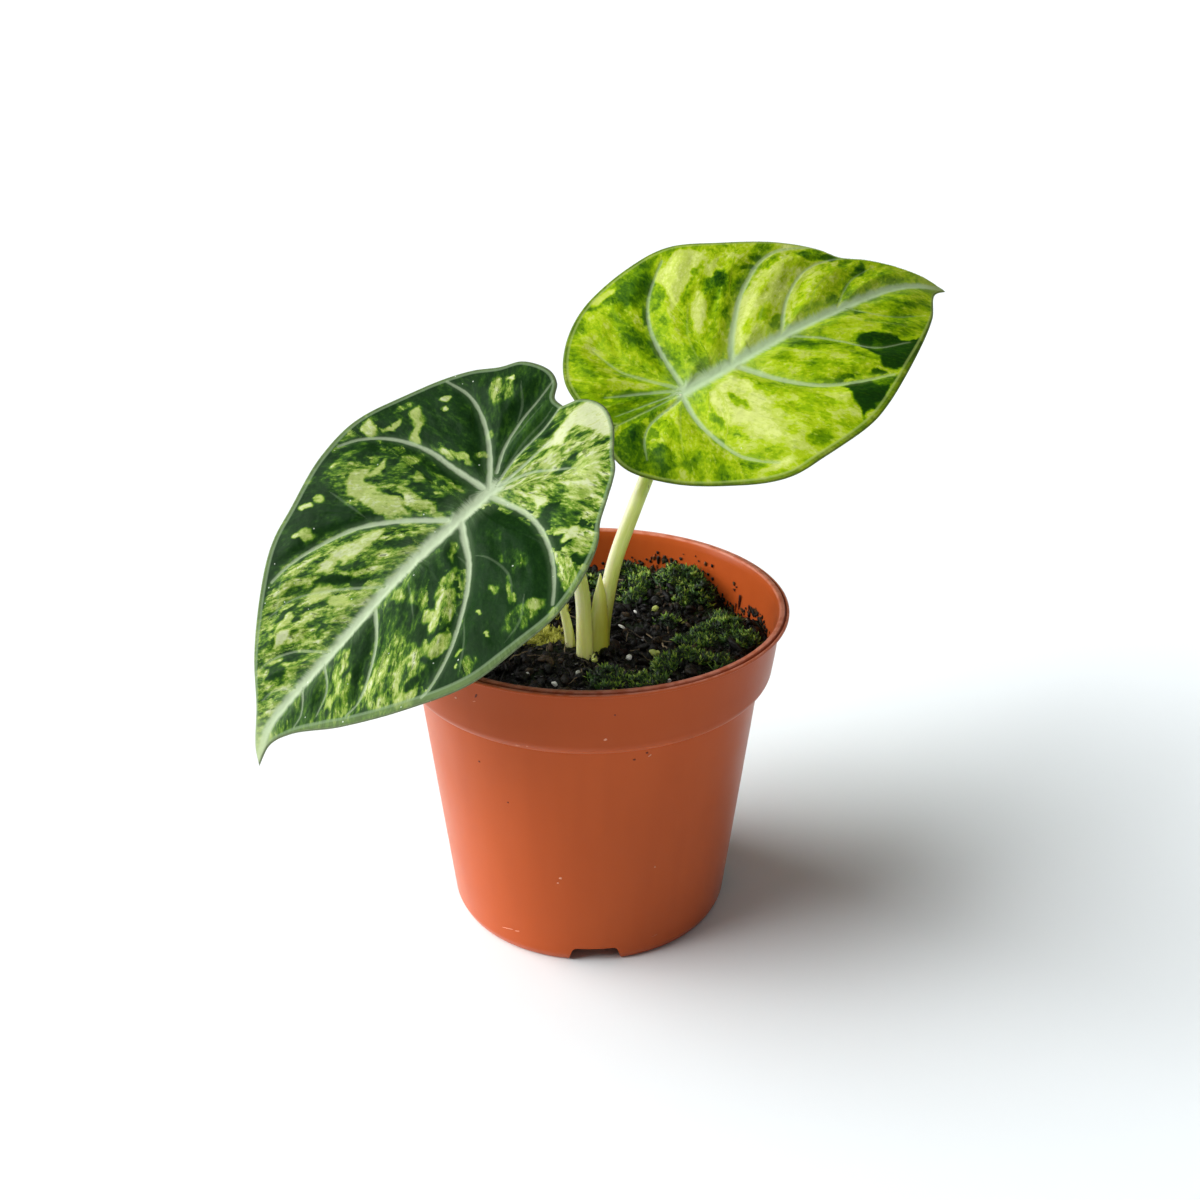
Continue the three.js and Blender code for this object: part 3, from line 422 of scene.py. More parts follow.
RIGHT_LEAF["left_panels"] = [
    (0.55, 0.5), (0.60, 0.6), (0.74, 0.5), (0.58, 0.6), (0.48, 0.6), (0.56, 0.6), (0.40, 0.4),
    (0.40, 0.4)]
RIGHT_LEAF["right_panels"] = [
    (0.50, 0.5), (0.52, 0.6), (0.56, 0.5), (0.66, 0.5), (0.58, 0.6), (0.36, 0.4)]
RIGHT_LEAF["fields"] = [
    ([(11.5, 31), (12, 35), (15, 37), (19, 39), (24, 38), (28, 34), (24, 32), (20, 29.5),
      (17, 27), (13, 24), (8, 21.5)], 0.84, 0.12),
    ([(17, 1), (36, 18), (32, 19.5), (26, 15), (20, 7.5), (15.5, 0.8)], 0.88, 0.15),
    ([(36, 4), (50, 21), (42, 24), (33, 18), (26, 4)], 0.76, 0.45),
    ([(3, -6), (11, -5), (13, -16), (12.5, -29), (6, -31), (2.5, -24), (1, -15)], 0.84, 0.4),
    ([(30.5, -24.5), (35, -26), (45, -29), (38, -33.5), (28, -37.5), (29, -33), (31, -29.5)],
     0.05, 0.15),
    ([(45, -11), (48, -11.5), (52, -14), (58, -17), (61, -19.5), (52, -26), (46, -27), (44, -24),
      (44.5, -20), (43, -15)], 0.07, 0.2),
    ([(26, -9), (32, -11), (44, -10), (43, -15), (45, -21), (43, -25), (36, -24.5), (30, -21)],
     0.58, 0.6),
    ([(-26, -4), (-19, -4), (-15, -14), (-16, -22), (-22, -20), (-26.5, -13)], 0.30, 0.7),
    ([(-10, 37), (2, 40), (16, 41), (8, 33), (4, 27), (-1, 33)], 0.34, 0.4),
]
RIGHT_LEAF["spots"] = [
    (-2.5, 38, 4, 1.5, 5, 0.78, 0.2), (9, 34, 4, 2, 50, 0.26, 0.4), (-2, 20, 5, 2, -80, 0.3, 0.6),
    (3, 26, 3, 1, 70, 0.15, 0.3), (0, 15, 3, 1.2, 80, 0.25, 0.5), (-10, 26, 5, 6, 0, 0.62, 0.5),
    (-9, 32, 3, 2, 20, 0.66, 0.4), (-12, 28, 2.4, 1.8, 20, 0.68, 0.4), (-17, 22, 3, 4, 0, 0.56, 0.5),
    (-12, 5, 5, 1.6, 155, 0.28, 0.3), (-22, 10, 3, 5, 0, 0.5, 0.4), (6, 24, 2.4, 2, 0, 0.62, 0.2),
    (8, 28, 3, 1.8, 40, 0.38, 0.5), (7, 14, 3, 5, 0, 0.60, 0.5), (14, 16.5, 5.6, 2, 60, 0.86, 0.15),
    (13, 5, 3, 2.4, 0, 0.6, 0.3), (22, 22, 5, 3, 55, 0.35, 0.7), (25, 23.5, 3, 1.6, 55, 0.3, 0.6),
    (20, 12, 4, 1.2, 55, 0.3, 0.5), (26, 28.5, 4, 1.5, 35, 0.76, 0.4), (20.5, 29.5, 1.5, 1, 0, 0.45, 0.4),
    (31, 27, 4, 2, -30, 0.55, 0.6), (29, 8, 4, 2, 40, 0.57, 0.4), (23, 6, 3, 1.6, 50, 0.62, 0.4),
    (31, 4, 3, 1.4, 30, 0.5, 0.5), (38, 26, 2.5, 1, 0, 0.3, 0.4), (34, 24, 2, 0.8, 0, 0.3, 0.4),
    (40, 28, 5, 2, -15, 0.6, 0.6), (42, 22.5, 4, 1.3, 30, 0.35, 0.6), (54, 21, 5, 2, -20, 0.32, 0.6),
    (58, 18.5, 3, 1.4, -20, 0.15, 0.3), (57, 12, 4, 2, 10, 0.6, 0.4), (64, 12, 4, 1.3, 35, 0.3, 0.4),
    (61, 15, 3, 1, 20, 0.35, 0.4), (37, 4, 3, 1.5, 35, 0.55, 0.4), (48, 3.5, 3, 1.2, 20, 0.4, 0.5),
    (54, 5, 4, 1.2, 45, 0.42, 0.5), (63, 6, 4, 1.6, 30, 0.42, 0.5), (68, 7, 3, 1, 35, 0.4, 0.4),
    (-22, -11, 4, 4, 0, 0.3, 0.5), (-18, -18, 4, 3, 0, 0.4, 0.5), (-11, -1.5, 6, 1.2, 0, 0.34, 0.3),
    (-9, -14, 4.4, 6, 0, 0.62, 0.5), (-13, -23, 2.6, 2, 0, 0.35, 0.5), (-8, -27, 5, 2.4, -30, 0.5, 0.5),
    (0, -15, 3, 0.9, -85, 0.42, 0.4), (-3, -20, 3, 1, -85, 0.38, 0.4), (7, -22, 6, 3.4, -80, 0.92, 0.2),
    (10.5, -10, 3, 2, -80, 0.88, 0.2), (7, -14, 4, 1, -80, 0.46, 0.4),
    (20, -18, 3, 6, 20, 0.60, 0.4), (21, -27, 3, 3, 0, 0.62, 0.35), (16, -36, 3.4, 2, 0, 0.42, 0.5),
    (4, -36.5, 4, 1.5, -15, 0.82, 0.3), (28, -27, 3, 4, 0, 0.68, 0.4), (33, -23, 3, 0.8, -25, 0.3, 0.4),
    (42, -25.5, 2, 0.8, -25, 0.15, 0.2), (31, -7, 4, 2, -20, 0.32, 0.4), (42, -7, 3.5, 2.5, -30, 0.68, 0.3),
    (48, -8, 4, 2.4, -60, 0.68, 0.3), (51, -11, 2.4, 2, -40, 0.66, 0.3), (52, -3.5, 2, 0.8, 0, 0.25, 0.2),
    (57, -7, 4, 2, -20, 0.6, 0.5), (68, -6, 2, 1.5, 0, 0.35, 0.4), (57, -13, 4, 2, -20, 0.38, 0.5),
    (58, -17.4, 3, 0.9, -20, 0.62, 0.3), (41, -29, 3, 1.4, -20, 0.25, 0.4), (48, -17, 2, 2.4, -30, 0.2, 0.2),
]

# The look of each blade: the stops of its tones, how its patches, islands and dashes are stretched
# along the veins' flow, its colours, and the share of each that shows

DARK_LOOK = {
    "stops": [
        (0.0, (13, 39, 9)), (0.14, (21, 49, 12)), (0.20, (32, 62, 15)), (0.29, (41, 73, 17)),
        (0.33, (55, 88, 19)), (0.41, (64, 97, 22)), (0.45, (83, 116, 29)), (0.54, (92, 124, 36)),
        (0.58, (116, 139, 51)), (0.68, (129, 150, 67)), (0.72, (147, 164, 88)),
        (0.84, (159, 173, 101)), (0.88, (171, 183, 130)), (1.0, (182, 189, 148)),
    ],
    "patch": (0.17, 0.46, 1), "patch_swing": 2.4, "island": (0.5, 1.1, 1), "island_swing": 1.3,
    "dash": (0.45, 1.1, 1), "dark_dash": (24, 52, 14), "dark_share": 0.7,
    "pale_dash": (160, 172, 92), "pale_share": 0.7,
    "painted_sheen": (52, 84, 52), "painted_sheen_share": 0.08, "beside": (112, 138, 98), "glow": 0.2,
    "thin": (120, 142, 108), "thin_share": 0.2, "vein": (170, 185, 153),
    "vein_line": (164, 180, 148), "band": (98, 119, 72), "tip_from": 75, "tip": (164, 178, 132),
    "rim": (128, 142, 106), "under": (150, 172, 126), "glints": 0.12, "gloss": 0.03,
}
LIGHT_LOOK = {
    "stops": [
        (0.0, (17, 48, 7)), (0.12, (26, 63, 6)), (0.22, (51, 89, 5)), (0.30, (64, 102, 3)),
        (0.34, (84, 122, 3)), (0.43, (97, 134, 2)), (0.47, (118, 153, 3)), (0.56, (131, 164, 6)),
        (0.60, (150, 177, 13)), (0.69, (160, 184, 30)), (0.73, (171, 189, 68)),
        (0.84, (180, 195, 88)), (0.88, (192, 204, 110)), (1.0, (200, 210, 124)),
    ],
    "patch": (0.13, 0.20, 1), "patch_swing": 2.0, "island": (0.6, 0.9, 1), "island_swing": 0.8,
    "dash": (0.35, 0.9, 1), "dark_dash": (84, 120, 4), "dark_share": 0.5,
    "pale_dash": (176, 192, 70), "pale_share": 0.4,
    "painted_sheen": (110, 136, 50), "painted_sheen_share": 0.0, "beside": (144, 168, 84), "glow": 0.26,
    "thin": (156, 176, 92), "thin_share": 0.2, "vein": (166, 187, 145),
    "vein_line": (152, 176, 136), "band": (68, 92, 22), "tip_from": 77, "tip": (134, 146, 76),
    "rim": (96, 112, 50), "under": (168, 190, 110), "glints": 0.01, "gloss": 0.03,
}

# Paths and noise


def smooth_path(points, steps=12):
    """A centripetal Catmull-Rom curve through the points."""
    knots = np.array(points, float)
    knots = np.vstack([2 * knots[0] - knots[1], knots, 2 * knots[-1] - knots[-2]])
    places = []
    for before, start, end, after in zip(knots[:-3], knots[1:-2], knots[2:-1], knots[3:]):
        first, middle, last = (np.linalg.norm(b - a) ** 0.5
                               for a, b in ((before, start), (start, end), (end, after)))
        leave = ((start - before) / first - (end - before) / (first + middle)) * middle + end - start
        arrive = ((after - end) / last - (after - start) / (middle + last)) * middle + end - start
        t = np.linspace(0, 1, steps, endpoint=False)[:, None]
        turn = -3 * start + 3 * end - 2 * leave - arrive
        rest = 2 * start - 2 * end + leave + arrive
        places.append(start + leave * t + turn * t ** 2 + rest * t ** 3)
    return np.vstack(places + [knots[-2:-1]])


def resample(path, step):
    """The path again, with equal steps close to the given one."""
    along = np.concatenate([[0], np.cumsum(np.linalg.norm(np.diff(path, axis=0), axis=1))])
    count = max(2, int(round(along[-1] / step)) + 1)
    places = np.linspace(0, along[-1], count)
    return np.column_stack([np.interp(places, along, column) for column in path.T])


def path_distance(points, path):
    """The distance of each point from a path, and the share of its length at the nearest place."""
    nearest = np.full(len(points), np.inf)
    along = np.zeros(len(points))
    passed = 0.0
    for start, end in zip(path[:-1], path[1:]):
        step = end - start
        length = float(np.hypot(*step))
        share = np.clip((points - start) @ step / length ** 2, 0, 1)
        away = np.hypot(*(points - start - share[:, None] * step).T)
        closer = away < nearest
        nearest[closer] = away[closer]
        along[closer] = passed + share[closer] * length
        passed += length
    return nearest, along / passed


def inside_outline(points, outline):
    """True for each point that lies inside a closed outline."""
    inside = np.zeros(len(points), bool)
    x, y = points.T
    for (ax, ay), (bx, by) in zip(outline, np.roll(outline, -1, axis=0)):
        if ay != by:
            crossing = ax + (y - ay) * (bx - ax) / (by - ay)
            inside ^= ((ay > y) != (by > y)) & (x < crossing)
    return inside


def smoothstep(x):
    """A smooth rise from 0 to 1 between 0 and 1."""
    x = np.clip(x, 0, 1)
    return x * x * (3 - 2 * x)


def lattice_noise(places, seed):
    """Smooth repeatable noise from -1 to 1 at 2-D or 3-D places, with features of about 1."""
    places = np.asarray(places, float)
    base = np.floor(places).astype(np.int64)
    part = places - base
    part = part * part * (3 - 2 * part)
    total = np.zeros(len(places))
    weights = np.array([374761393, 668265263, 2147483647][: places.shape[1]], np.int64)
    for corner in np.ndindex(*(2,) * places.shape[1]):
        code = ((base + corner) * weights).sum(axis=1) + seed * 1274126177
        code = (code ^ (code >> 13)) * 1274126177
        code = (code ^ (code >> 16)) & 0xFFFFFF
        share = np.prod(np.where(np.array(corner) == 1, part, 1 - part), axis=1)
        total += share * code / 0xFFFFFF
    return 2 * total - 1


def layered_noise(places, seed, layers=3):
    """Noise from -1 to 1 in layers, each twice as fine and half as strong as the last."""
    places = np.asarray(places, float)
    total = sum(lattice_noise(places * 2 ** i, seed + i) / 2 ** i for i in range(layers))
    return total / (2 - 2 / 2 ** layers)


# Meshes


def new_object(name, data):
    """An object in the scene that holds the data."""
    item = bpy.data.objects.new(name, data)
    bpy.context.scene.collection.objects.link(item)
    return item


def face_along(item, direction, axis):
    """Turns an object so that its own axis points in a direction."""
    item.rotation_mode = "QUATERNION"
    item.rotation_quaternion = direction.to_track_quat(axis, "Y")


def new_mesh(name, points, faces, indices):
    """A smooth mesh from points in millimetres. indices say which material each face has."""
    mesh = bpy.data.meshes.new(name)
    points = np.asarray(points, np.float64) * MM
    mesh.vertices.add(len(points))
    mesh.vertices.foreach_set("co", points.astype(np.float32).ravel())
    if isinstance(faces, np.ndarray):
        counts = np.full(len(faces), faces.shape[1], np.int32)
        corners = faces.astype(np.int32).ravel()
    else:
        counts = np.array([len(face) for face in faces], np.int32)
        corners = np.fromiter((corner for face in faces for corner in face), np.int32)
    mesh.loops.add(len(corners))
    mesh.loops.foreach_set("vertex_index", corners)
    mesh.polygons.add(len(counts))
    starts = np.concatenate([[0], np.cumsum(counts)[:-1]]).astype(np.int32)
    mesh.polygons.foreach_set("loop_start", starts)
    if indices is not None:
        mesh.polygons.foreach_set("material_index", np.asarray(indices, np.int32))
    mesh.update(calc_edges=True)
    mesh.polygons.foreach_set("use_smooth", np.ones(len(counts), bool))
    return mesh


def new_piece(name, points, faces, materials, numbers=None, indices=None):
    """A visible piece on the plant. numbers are named values at its points."""
    mesh = new_mesh(name, points, faces, indices)
    for key, values in (numbers or {}).items():
        values = np.asarray(values, np.float32)
        kind, field = ("FLOAT", "value") if values.ndim == 1 else ("FLOAT_VECTOR", "vector")
        mesh.attributes.new(key, kind, "POINT").data.foreach_set(field, values.ravel())
    for material in materials:
        mesh.materials.append(material)
    piece = new_object(name, mesh)
    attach(piece, "root")
    return piece


def on_circle(turns):
    """Points on a circle of radius 1."""
    return np.column_stack([np.cos(turns), np.sin(turns)])


def unit_ring(count):
    """Points evenly round a circle of radius 1."""
    return on_circle(np.arange(count) * 2 * np.pi / count)


def skin(rings, sides):
    """Faces of a closed body whose points are one end, its rings and the other end."""
    last = rings * sides + 1
    faces = []
    for j in range(sides):
        k = (j + 1) % sides
        faces.append((0, 1 + k, 1 + j))
        faces.append((last, last - sides + j, last - sides + k))
        for i in range(rings - 1):
            low, high = 1 + i * sides, 1 + (i + 1) * sides
            faces.append((low + j, low + k, high + k, high + j))
    return faces


def lathe(profile, segments):
    """Points and faces of a solid turned from a profile that starts and ends on the axis."""
    circle = unit_ring(segments)
    rings = [np.column_stack([circle * radius, np.full(segments, height)])
             for radius, height in profile[1:-1]]
    points = np.vstack([[(0, 0, profile[0][1])], *rings, [(0, 0, profile[-1][1])]])
    return points, skin(len(rings), segments)


def tube(path, radii, sides):
    """Points and faces of a closed stem along a path. A radius is one number or one for each side."""
    path = np.asarray(path, float)
    tangents = np.gradient(path, axis=0)
    tangents /= np.linalg.norm(tangents, axis=1)[:, None]
    side = np.array([1.0, 0, 0])
    if abs(tangents[0] @ side) > 0.9:
        side = np.array([0, 0, 1.0])
    cos, sin = unit_ring(sides).T[:, :, None]
    rings = []
    for centre, tangent, radius in zip(path, tangents, radii):
        side = side - (side @ tangent) * tangent
        side /= np.linalg.norm(side)
        across = np.cross(tangent, side)
        spread = np.broadcast_to(radius, sides)[:, None]
        rings.append(centre + spread * (cos * side + sin * across))
    return np.vstack([path[:1], *rings, path[-1:]]), skin(len(rings), sides)


def ball(subdivisions):
    """Points and triangles of a ball of radius 1."""
    mesh = bmesh.new()
    bmesh.ops.create_icosphere(mesh, subdivisions=subdivisions, radius=1)
    points = np.array([vertex.co for vertex in mesh.verts])
    faces = np.array([[vertex.index for vertex in face.verts] for face in mesh.faces])
    mesh.free()
    return points, faces


def roughened(base, depth, scale, seed, layers=2, shift=0.0):
    """A ball's points moved in and out by noise."""
    return base * (1 + depth * layered_noise(base * scale + shift, seed, layers))[:, None]


def random_turns(random, count):
    """Random rotations as matrices."""
    x, y, z, w = random.normal(size=(count, 4)).T
    size = np.sqrt(x * x + y * y + z * z + w * w)
    x, y, z, w = x / size, y / size, z / size, w / size
    rows = [
        [1 - 2 * (y * y + z * z), 2 * (x * y - z * w), 2 * (x * z + y * w)],
        [2 * (x * y + z * w), 1 - 2 * (x * x + z * z), 2 * (y * z - x * w)],
        [2 * (x * z - y * w), 2 * (y * z + x * w), 1 - 2 * (x * x + y * y)],
    ]
    return np.moveaxis(np.array(rows), -1, 0)


def copies(base, faces, centres, sizes, turns):
    """Points and faces of many turned copies of one small form. base may differ for each."""
    count = len(centres)
    base = np.broadcast_to(base, (count, *base.shape[-2:]))
    points = np.einsum("cij,cpj->cpi", turns, base * sizes[:, None, :]) + centres[:, None, :]
    steps = np.arange(count)[:, None, None] * base.shape[1]
    return points.reshape(-1, 3), (faces[None] + steps).reshape(-1, faces.shape[1])


# Materials


def srgb(red, green, blue):
    """A colour given as it shows on a screen, from 0 to 255, as the renderer's own numbers."""
    shares = [value / 255 for value in (red, green, blue)]
    linear = [s / 12.92 if s <= 0.04045 else ((s + 0.055) / 1.055) ** 2.4 for s in shares]
    return (*linear, 1.0)


class Paint:
    """Builds one material's nodes with short calls.

    An input is a number, a colour or a socket, and None leaves it as Blender has it.
    """

    def __init__(self, name):
        self.material = bpy.data.materials.new(name)
        self.material.use_nodes = True
        self.tree = self.material.node_tree
        self.tree.nodes.clear()

    def put(self, value, socket):
        if isinstance(value, bpy.types.NodeSocket):
            self.tree.links.new(value, socket)
        elif value is not None:
            socket.default_value = value

    def number(self, name, output="Fac"):
        """A value that the piece holds at its points. The output Vector is for three numbers."""
        node = self.tree.nodes.new("ShaderNodeAttribute")
        node.attribute_name = name
        return node.outputs[output]

    def stretched(self, vector, scale):
        node = self.tree.nodes.new("ShaderNodeMapping")
        self.put(vector, node.inputs["Vector"])
        node.inputs["Scale"].default_value = scale
        return node.outputs[0]

    def place(self):
        """The place on the object in millimetres."""
        node = self.tree.nodes.new("ShaderNodeTexCoord")
        return self.stretched(node.outputs["Object"], (1000, 1000, 1000))

    def axis(self, vector, axis):
        node = self.tree.nodes.new("ShaderNodeSeparateXYZ")
        self.put(vector, node.inputs[0])
        return node.outputs[axis]

    def noise(self, vector, scale, detail=2.0, roughness=0.5):
        node = self.tree.nodes.new("ShaderNodeTexNoise")
        self.put(vector, node.inputs["Vector"])
        node.inputs["Scale"].default_value = scale
        node.inputs["Detail"].default_value = detail
        node.inputs["Roughness"].default_value = roughness
        return node.outputs["Fac"]

    def cells(self, vector, scale, output):
        node = self.tree.nodes.new("ShaderNodeTexVoronoi")
        self.put(vector, node.inputs["Vector"])
        node.inputs["Scale"].default_value = scale
        return node.outputs[output]

    def math(self, operation, first, second=None):
        node = self.tree.nodes.new("ShaderNodeMath")
        node.operation = operation
        self.put(first, node.inputs[0])
        self.put(second, node.inputs[1])
        return node.outputs[0]

    def length(self, vector):
        node = self.tree.nodes.new("ShaderNodeVectorMath")
        node.operation = "LENGTH"
        self.put(vector, node.inputs[0])
        return node.outputs["Value"]

    def add(self, *values):
        total = values[0]
        for value in values[1:]:
            total = self.math("ADD", total, value)
        return total

    def times(self, first, second):
        return self.math("MULTIPLY", first, second)

    def swing(self, value, amount):
        """A value from 0 to 1 turned into a swing about zero."""
        return self.times(self.math("SUBTRACT", value, 0.5), amount)

    def fade(self, value, low, high, to_low=0.0, to_high=1.0):
        """A smooth change from to_low at low to to_high at high."""
        node = self.tree.nodes.new("ShaderNodeMapRange")
        node.interpolation_type = "SMOOTHSTEP"
        for given, socket in zip((value, low, high, to_low, to_high), node.inputs):
            self.put(given, socket)
        return node.outputs[0]

    def mix(self, share, first, second):
        """The first colour with a share of the second over it."""
        node = self.tree.nodes.new("ShaderNodeMix")
        node.data_type = "RGBA"
        colours = [socket for socket in node.inputs if socket.type == "RGBA"]
        self.put(share, node.inputs["Factor"])
        self.put(first, colours[0])
        self.put(second, colours[1])
        return next(socket for socket in node.outputs if socket.type == "RGBA")

    def ramp(self, share, stops):
        """The colour at a share of the way along stops, each a place and an on-screen colour."""
        node = self.tree.nodes.new("ShaderNodeValToRGB")
        self.put(share, node.inputs[0])
        elements = node.color_ramp.elements
        while len(elements) < len(stops):
            elements.new(0.5)
        for element, (place, colour) in zip(elements, stops):
            element.position = place
            element.color = srgb(*colour)
        return node.outputs[0]

    def specks(self, vector, spacing, size, share):
        """Small round specks: one in each cell, in the given share of the cells."""
        distance = self.cells(vector, 1 / spacing, "Distance")
        cell = self.axis(self.cells(vector, 1 / spacing, "Color"), 0)
        pick = self.math("FRACT", self.times(cell, 7.31))
        chosen = self.math("LESS_THAN", pick, share)
        return self.times(self.fade(distance, size / spacing, 0.6 * size / spacing), chosen)

    def bump(self, height, depth, normal=None):
        """Relief of the given depth in millimetres."""
        node = self.tree.nodes.new("ShaderNodeBump")
        node.inputs["Strength"].default_value = 1.0
        node.inputs["Distance"].default_value = depth * MM
        self.put(height, node.inputs["Height"])
        self.put(normal, node.inputs["Normal"])
        return node.outputs[0]

    def finish(self, colour, roughness, normal=None, settings=None):
        """Ends the material in one shader. settings are its fixed sockets by name."""
        shader = self.tree.nodes.new("ShaderNodeBsdfPrincipled")
        self.put(colour, shader.inputs["Base Color"])
        self.put(roughness, shader.inputs["Roughness"])
        self.put(normal, shader.inputs["Normal"])
        for key, value in (settings or {}).items():
            shader.inputs[key].default_value = value
        output = self.tree.nodes.new("ShaderNodeOutputMaterial")
        self.tree.links.new(shader.outputs[0], output.inputs[0])
        return self.material


# The camera and the studio: a white floor and soft window light from the left


def make_camera():
    data = bpy.data.cameras.new("camera")
    data.lens = CAMERA_LENS
    data.sensor_width = CAMERA_SENSOR
    data.clip_end = 100
    camera = new_object("camera", data)
    camera.location = Vector(CAMERA_PLACE) * MM
    face_along(camera, Vector(CAMERA_LOOKS_ALONG), "-Z")
    bpy.context.scene.camera = camera


def make_floor():
    paint = Paint("studio_floor")
    cloud = paint.noise(paint.place(), 0.003)
    white = paint.mix(cloud, srgb(241, 247, 249), srgb(243, 249, 251))
    material = paint.finish(white, 0.9, settings={"Specular IOR Level": 0.0})
    half = FLOOR_HALF * MM
    mesh = bpy.data.meshes.new("studio_floor")
    corners = [(-half, -half, 0), (half, -half, 0), (half, half, 0), (-half, half, 0)]
    mesh.from_pydata(corners, [], [(0, 1, 2, 3)])
    mesh.materials.append(material)
    floor = new_object("studio_floor", mesh)


def make_studio():
    bpy.context.scene.view_settings.view_transform = "Standard"
    make_floor()
    world = bpy.data.worlds.new("studio")
    world.use_nodes = True
    background = world.node_tree.nodes["Background"]
    background.inputs["Color"].default_value = (1, 1, 1, 1)
    background.inputs["Strength"].default_value = SURROUND_STRENGTH
    bpy.context.scene.world = world
    for name, lamp in LAMPS.items():
        add_lamp(name, lamp)
    add_fill()


def add_lamp(name, lamp):
    data = bpy.data.lights.new(name, "SUN")
    data.energy = lamp["strength"]
    data.angle = math.radians(lamp["width"])
    turn, rise = math.radians(lamp["turn"]), math.radians(lamp["rise"])
    towards = Vector((math.cos(turn) * math.cos(rise), math.sin(turn) * math.cos(rise),
                      math.sin(rise)))
    face_along(new_object(name, data), towards, "Z")


def add_fill():
    data = bpy.data.lights.new("fill", "SPOT")
    data.energy = FILL["watts"]
    data.spot_size = math.radians(FILL["cone"])
    data.spot_blend = FILL["blend"]
    data.shadow_soft_size = FILL["size"] * MM
    light = new_object("fill", data)
    light.location = Vector(FILL["place"]) * MM
    face_along(light, Vector(FILL["place"]) - Vector(FILL["aim"]), "Z")


# The pot


def rounded(corners, radius, steps=4):
    """A profile whose inner corners are rounded by the given radius, or by their own."""
    longest = 0.45
    own = [corner[2] if len(corner) > 2 else radius for corner in corners]
    corners = [np.array(corner[:2], float) for corner in corners]
    profile = [corners[0]]
    for before, corner, after, most in zip(corners[:-2], corners[1:-1], corners[2:], own[1:-1]):
        back, ahead = before - corner, after - corner
        reach = min(most, longest * np.linalg.norm(back), longest * np.linalg.norm(ahead))
        start = corner + back / np.linalg.norm(back) * reach
        end = corner + ahead / np.linalg.norm(ahead) * reach
        for t in np.linspace(0, 1, steps + 1):
            profile.append((1 - t) ** 2 * start + 2 * t * (1 - t) * corner + t ** 2 * end)
    profile.append(corners[-1])
    return profile


def inner_radius(height):
    """The radius of the pot's inner wall at a height."""
    heights = (FLOOR_TOP, CREASE[1], BAND_LOW[1], BAND_TOP[1])
    radii = (BODY_FOOT_RADIUS, CREASE[0], BAND_LOW[0], BAND_TOP[0])
    return np.interp(height, heights, radii) - WALL


def outer_radius(height):
    """The radius of the pot's outside at a height under the lip."""
    body = np.interp(height, (FOOT_TOP[1], CREASE[1]), (FOOT_TOP[0], CREASE[0]))
    heights = (SHOULDER[1], BAND_LOW[1] + 0.3, BAND_MIDDLE[1], LIP_FOOT)
    radii = (SHOULDER[0], BAND_LOW[0], BAND_MIDDLE[0], BAND_TOP[0])
    return np.where(height < CREASE[1], body, np.interp(height, heights, radii))


def pot_profile():
    """The pot's section, from the middle of its base up to the lip and back in to the floor.

    A corner is a radius and a height, and its rounding where that isn't the usual one.
    """
    usual_rounding = 0.6
    base = [
        (0, 0), (CENTRE_PAD_RADIUS, 0), (CENTRE_PAD_RADIUS + FOOT_LEAN, FLOOR_CLEARANCE),
        (FOOT_RADIUS - FOOT_WIDTH - FOOT_LEAN, FLOOR_CLEARANCE), (FOOT_RADIUS - FOOT_WIDTH, 0)]
    outside = [
        (FOOT_RADIUS, 0, 1.1), FOOT_TOP, (*CREASE, 0.12), (*SHOULDER, 0.9), (*BAND_LOW, 1.6),
        BAND_MIDDLE, (*BAND_TOP, 0.1)]
    lip = [
        (LIP_GROOVE, LIP_FOOT - 0.4, 0.2), (RIM_RADIUS, LIP_FOOT, 0.2), (RIM_RADIUS, 87.5, 0.2),
        (RIM_RADIUS - 0.45, 87.75, 0.15), (LIP_GROOVE + 0.1, LIP_GROOVE_FLOOR, 0.05),
        (LIP_GROOVE - 0.1, LIP_GROOVE_FLOOR, 0.05), (LIP_GROOVE - 0.35, POT_HEIGHT, 0.15),
        (50.2, POT_HEIGHT, 0.3), (49.8, 87.4)]
    wall_foot = float(inner_radius(FLOOR_TOP + FLOOR_FILLET))
    inside = [
        (BAND_TOP[0] - WALL, BAND_TOP[1] - 0.4), (BAND_LOW[0] - WALL, BAND_LOW[1]),
        (CREASE[0] - WALL, CREASE[1]), (wall_foot, FLOOR_TOP + FLOOR_FILLET),
        (wall_foot - FLOOR_FILLET, FLOOR_TOP), (CENTRE_PAD_RADIUS - 0.2, FLOOR_TOP),
        (CENTRE_PAD_RADIUS - WALL, WALL), (0, WALL)]
    return rounded(base + outside + lip + inside, usual_rounding)


def cutter(points, faces):
    mesh = bpy.data.meshes.new("cutter")
    mesh.from_pydata([tuple(point) for point in np.asarray(points) * MM], [], faces)
    return new_object("cutter", mesh)


def prism(low, high):
    """A cutter between two rings of as many points."""
    count = len(low)
    faces = [tuple(range(count - 1, -1, -1)), tuple(range(count, 2 * count))]
    faces += [(i, (i + 1) % count, count + (i + 1) % count, count + i) for i in range(count)]
    return cutter(np.vstack([low, high]), faces)


def notch_cutter(turn):
    cos, sin = math.cos(math.radians(turn)), math.sin(math.radians(turn))
    rings = []
    for x in (FOOT_RADIUS - NOTCH_REACH, FOOT_RADIUS + NOTCH_REACH):
        rings.append([(x * cos - y * sin, x * sin + y * cos, z) for y, z in NOTCH_CORNERS])
    return prism(*rings)


def drain_cutter(turn):
    centre = DRAIN_CIRCLE_RADIUS * np.array([math.cos(turn), math.sin(turn)])
    ring = centre + DRAIN_RADIUS * unit_ring(DRAIN_SIDES)
    low, high = (np.column_stack([ring, np.full(DRAIN_SIDES, height)])
                 for height in (FLOOR_CLEARANCE - 1, FLOOR_TOP + 1))
    return prism(low, high)


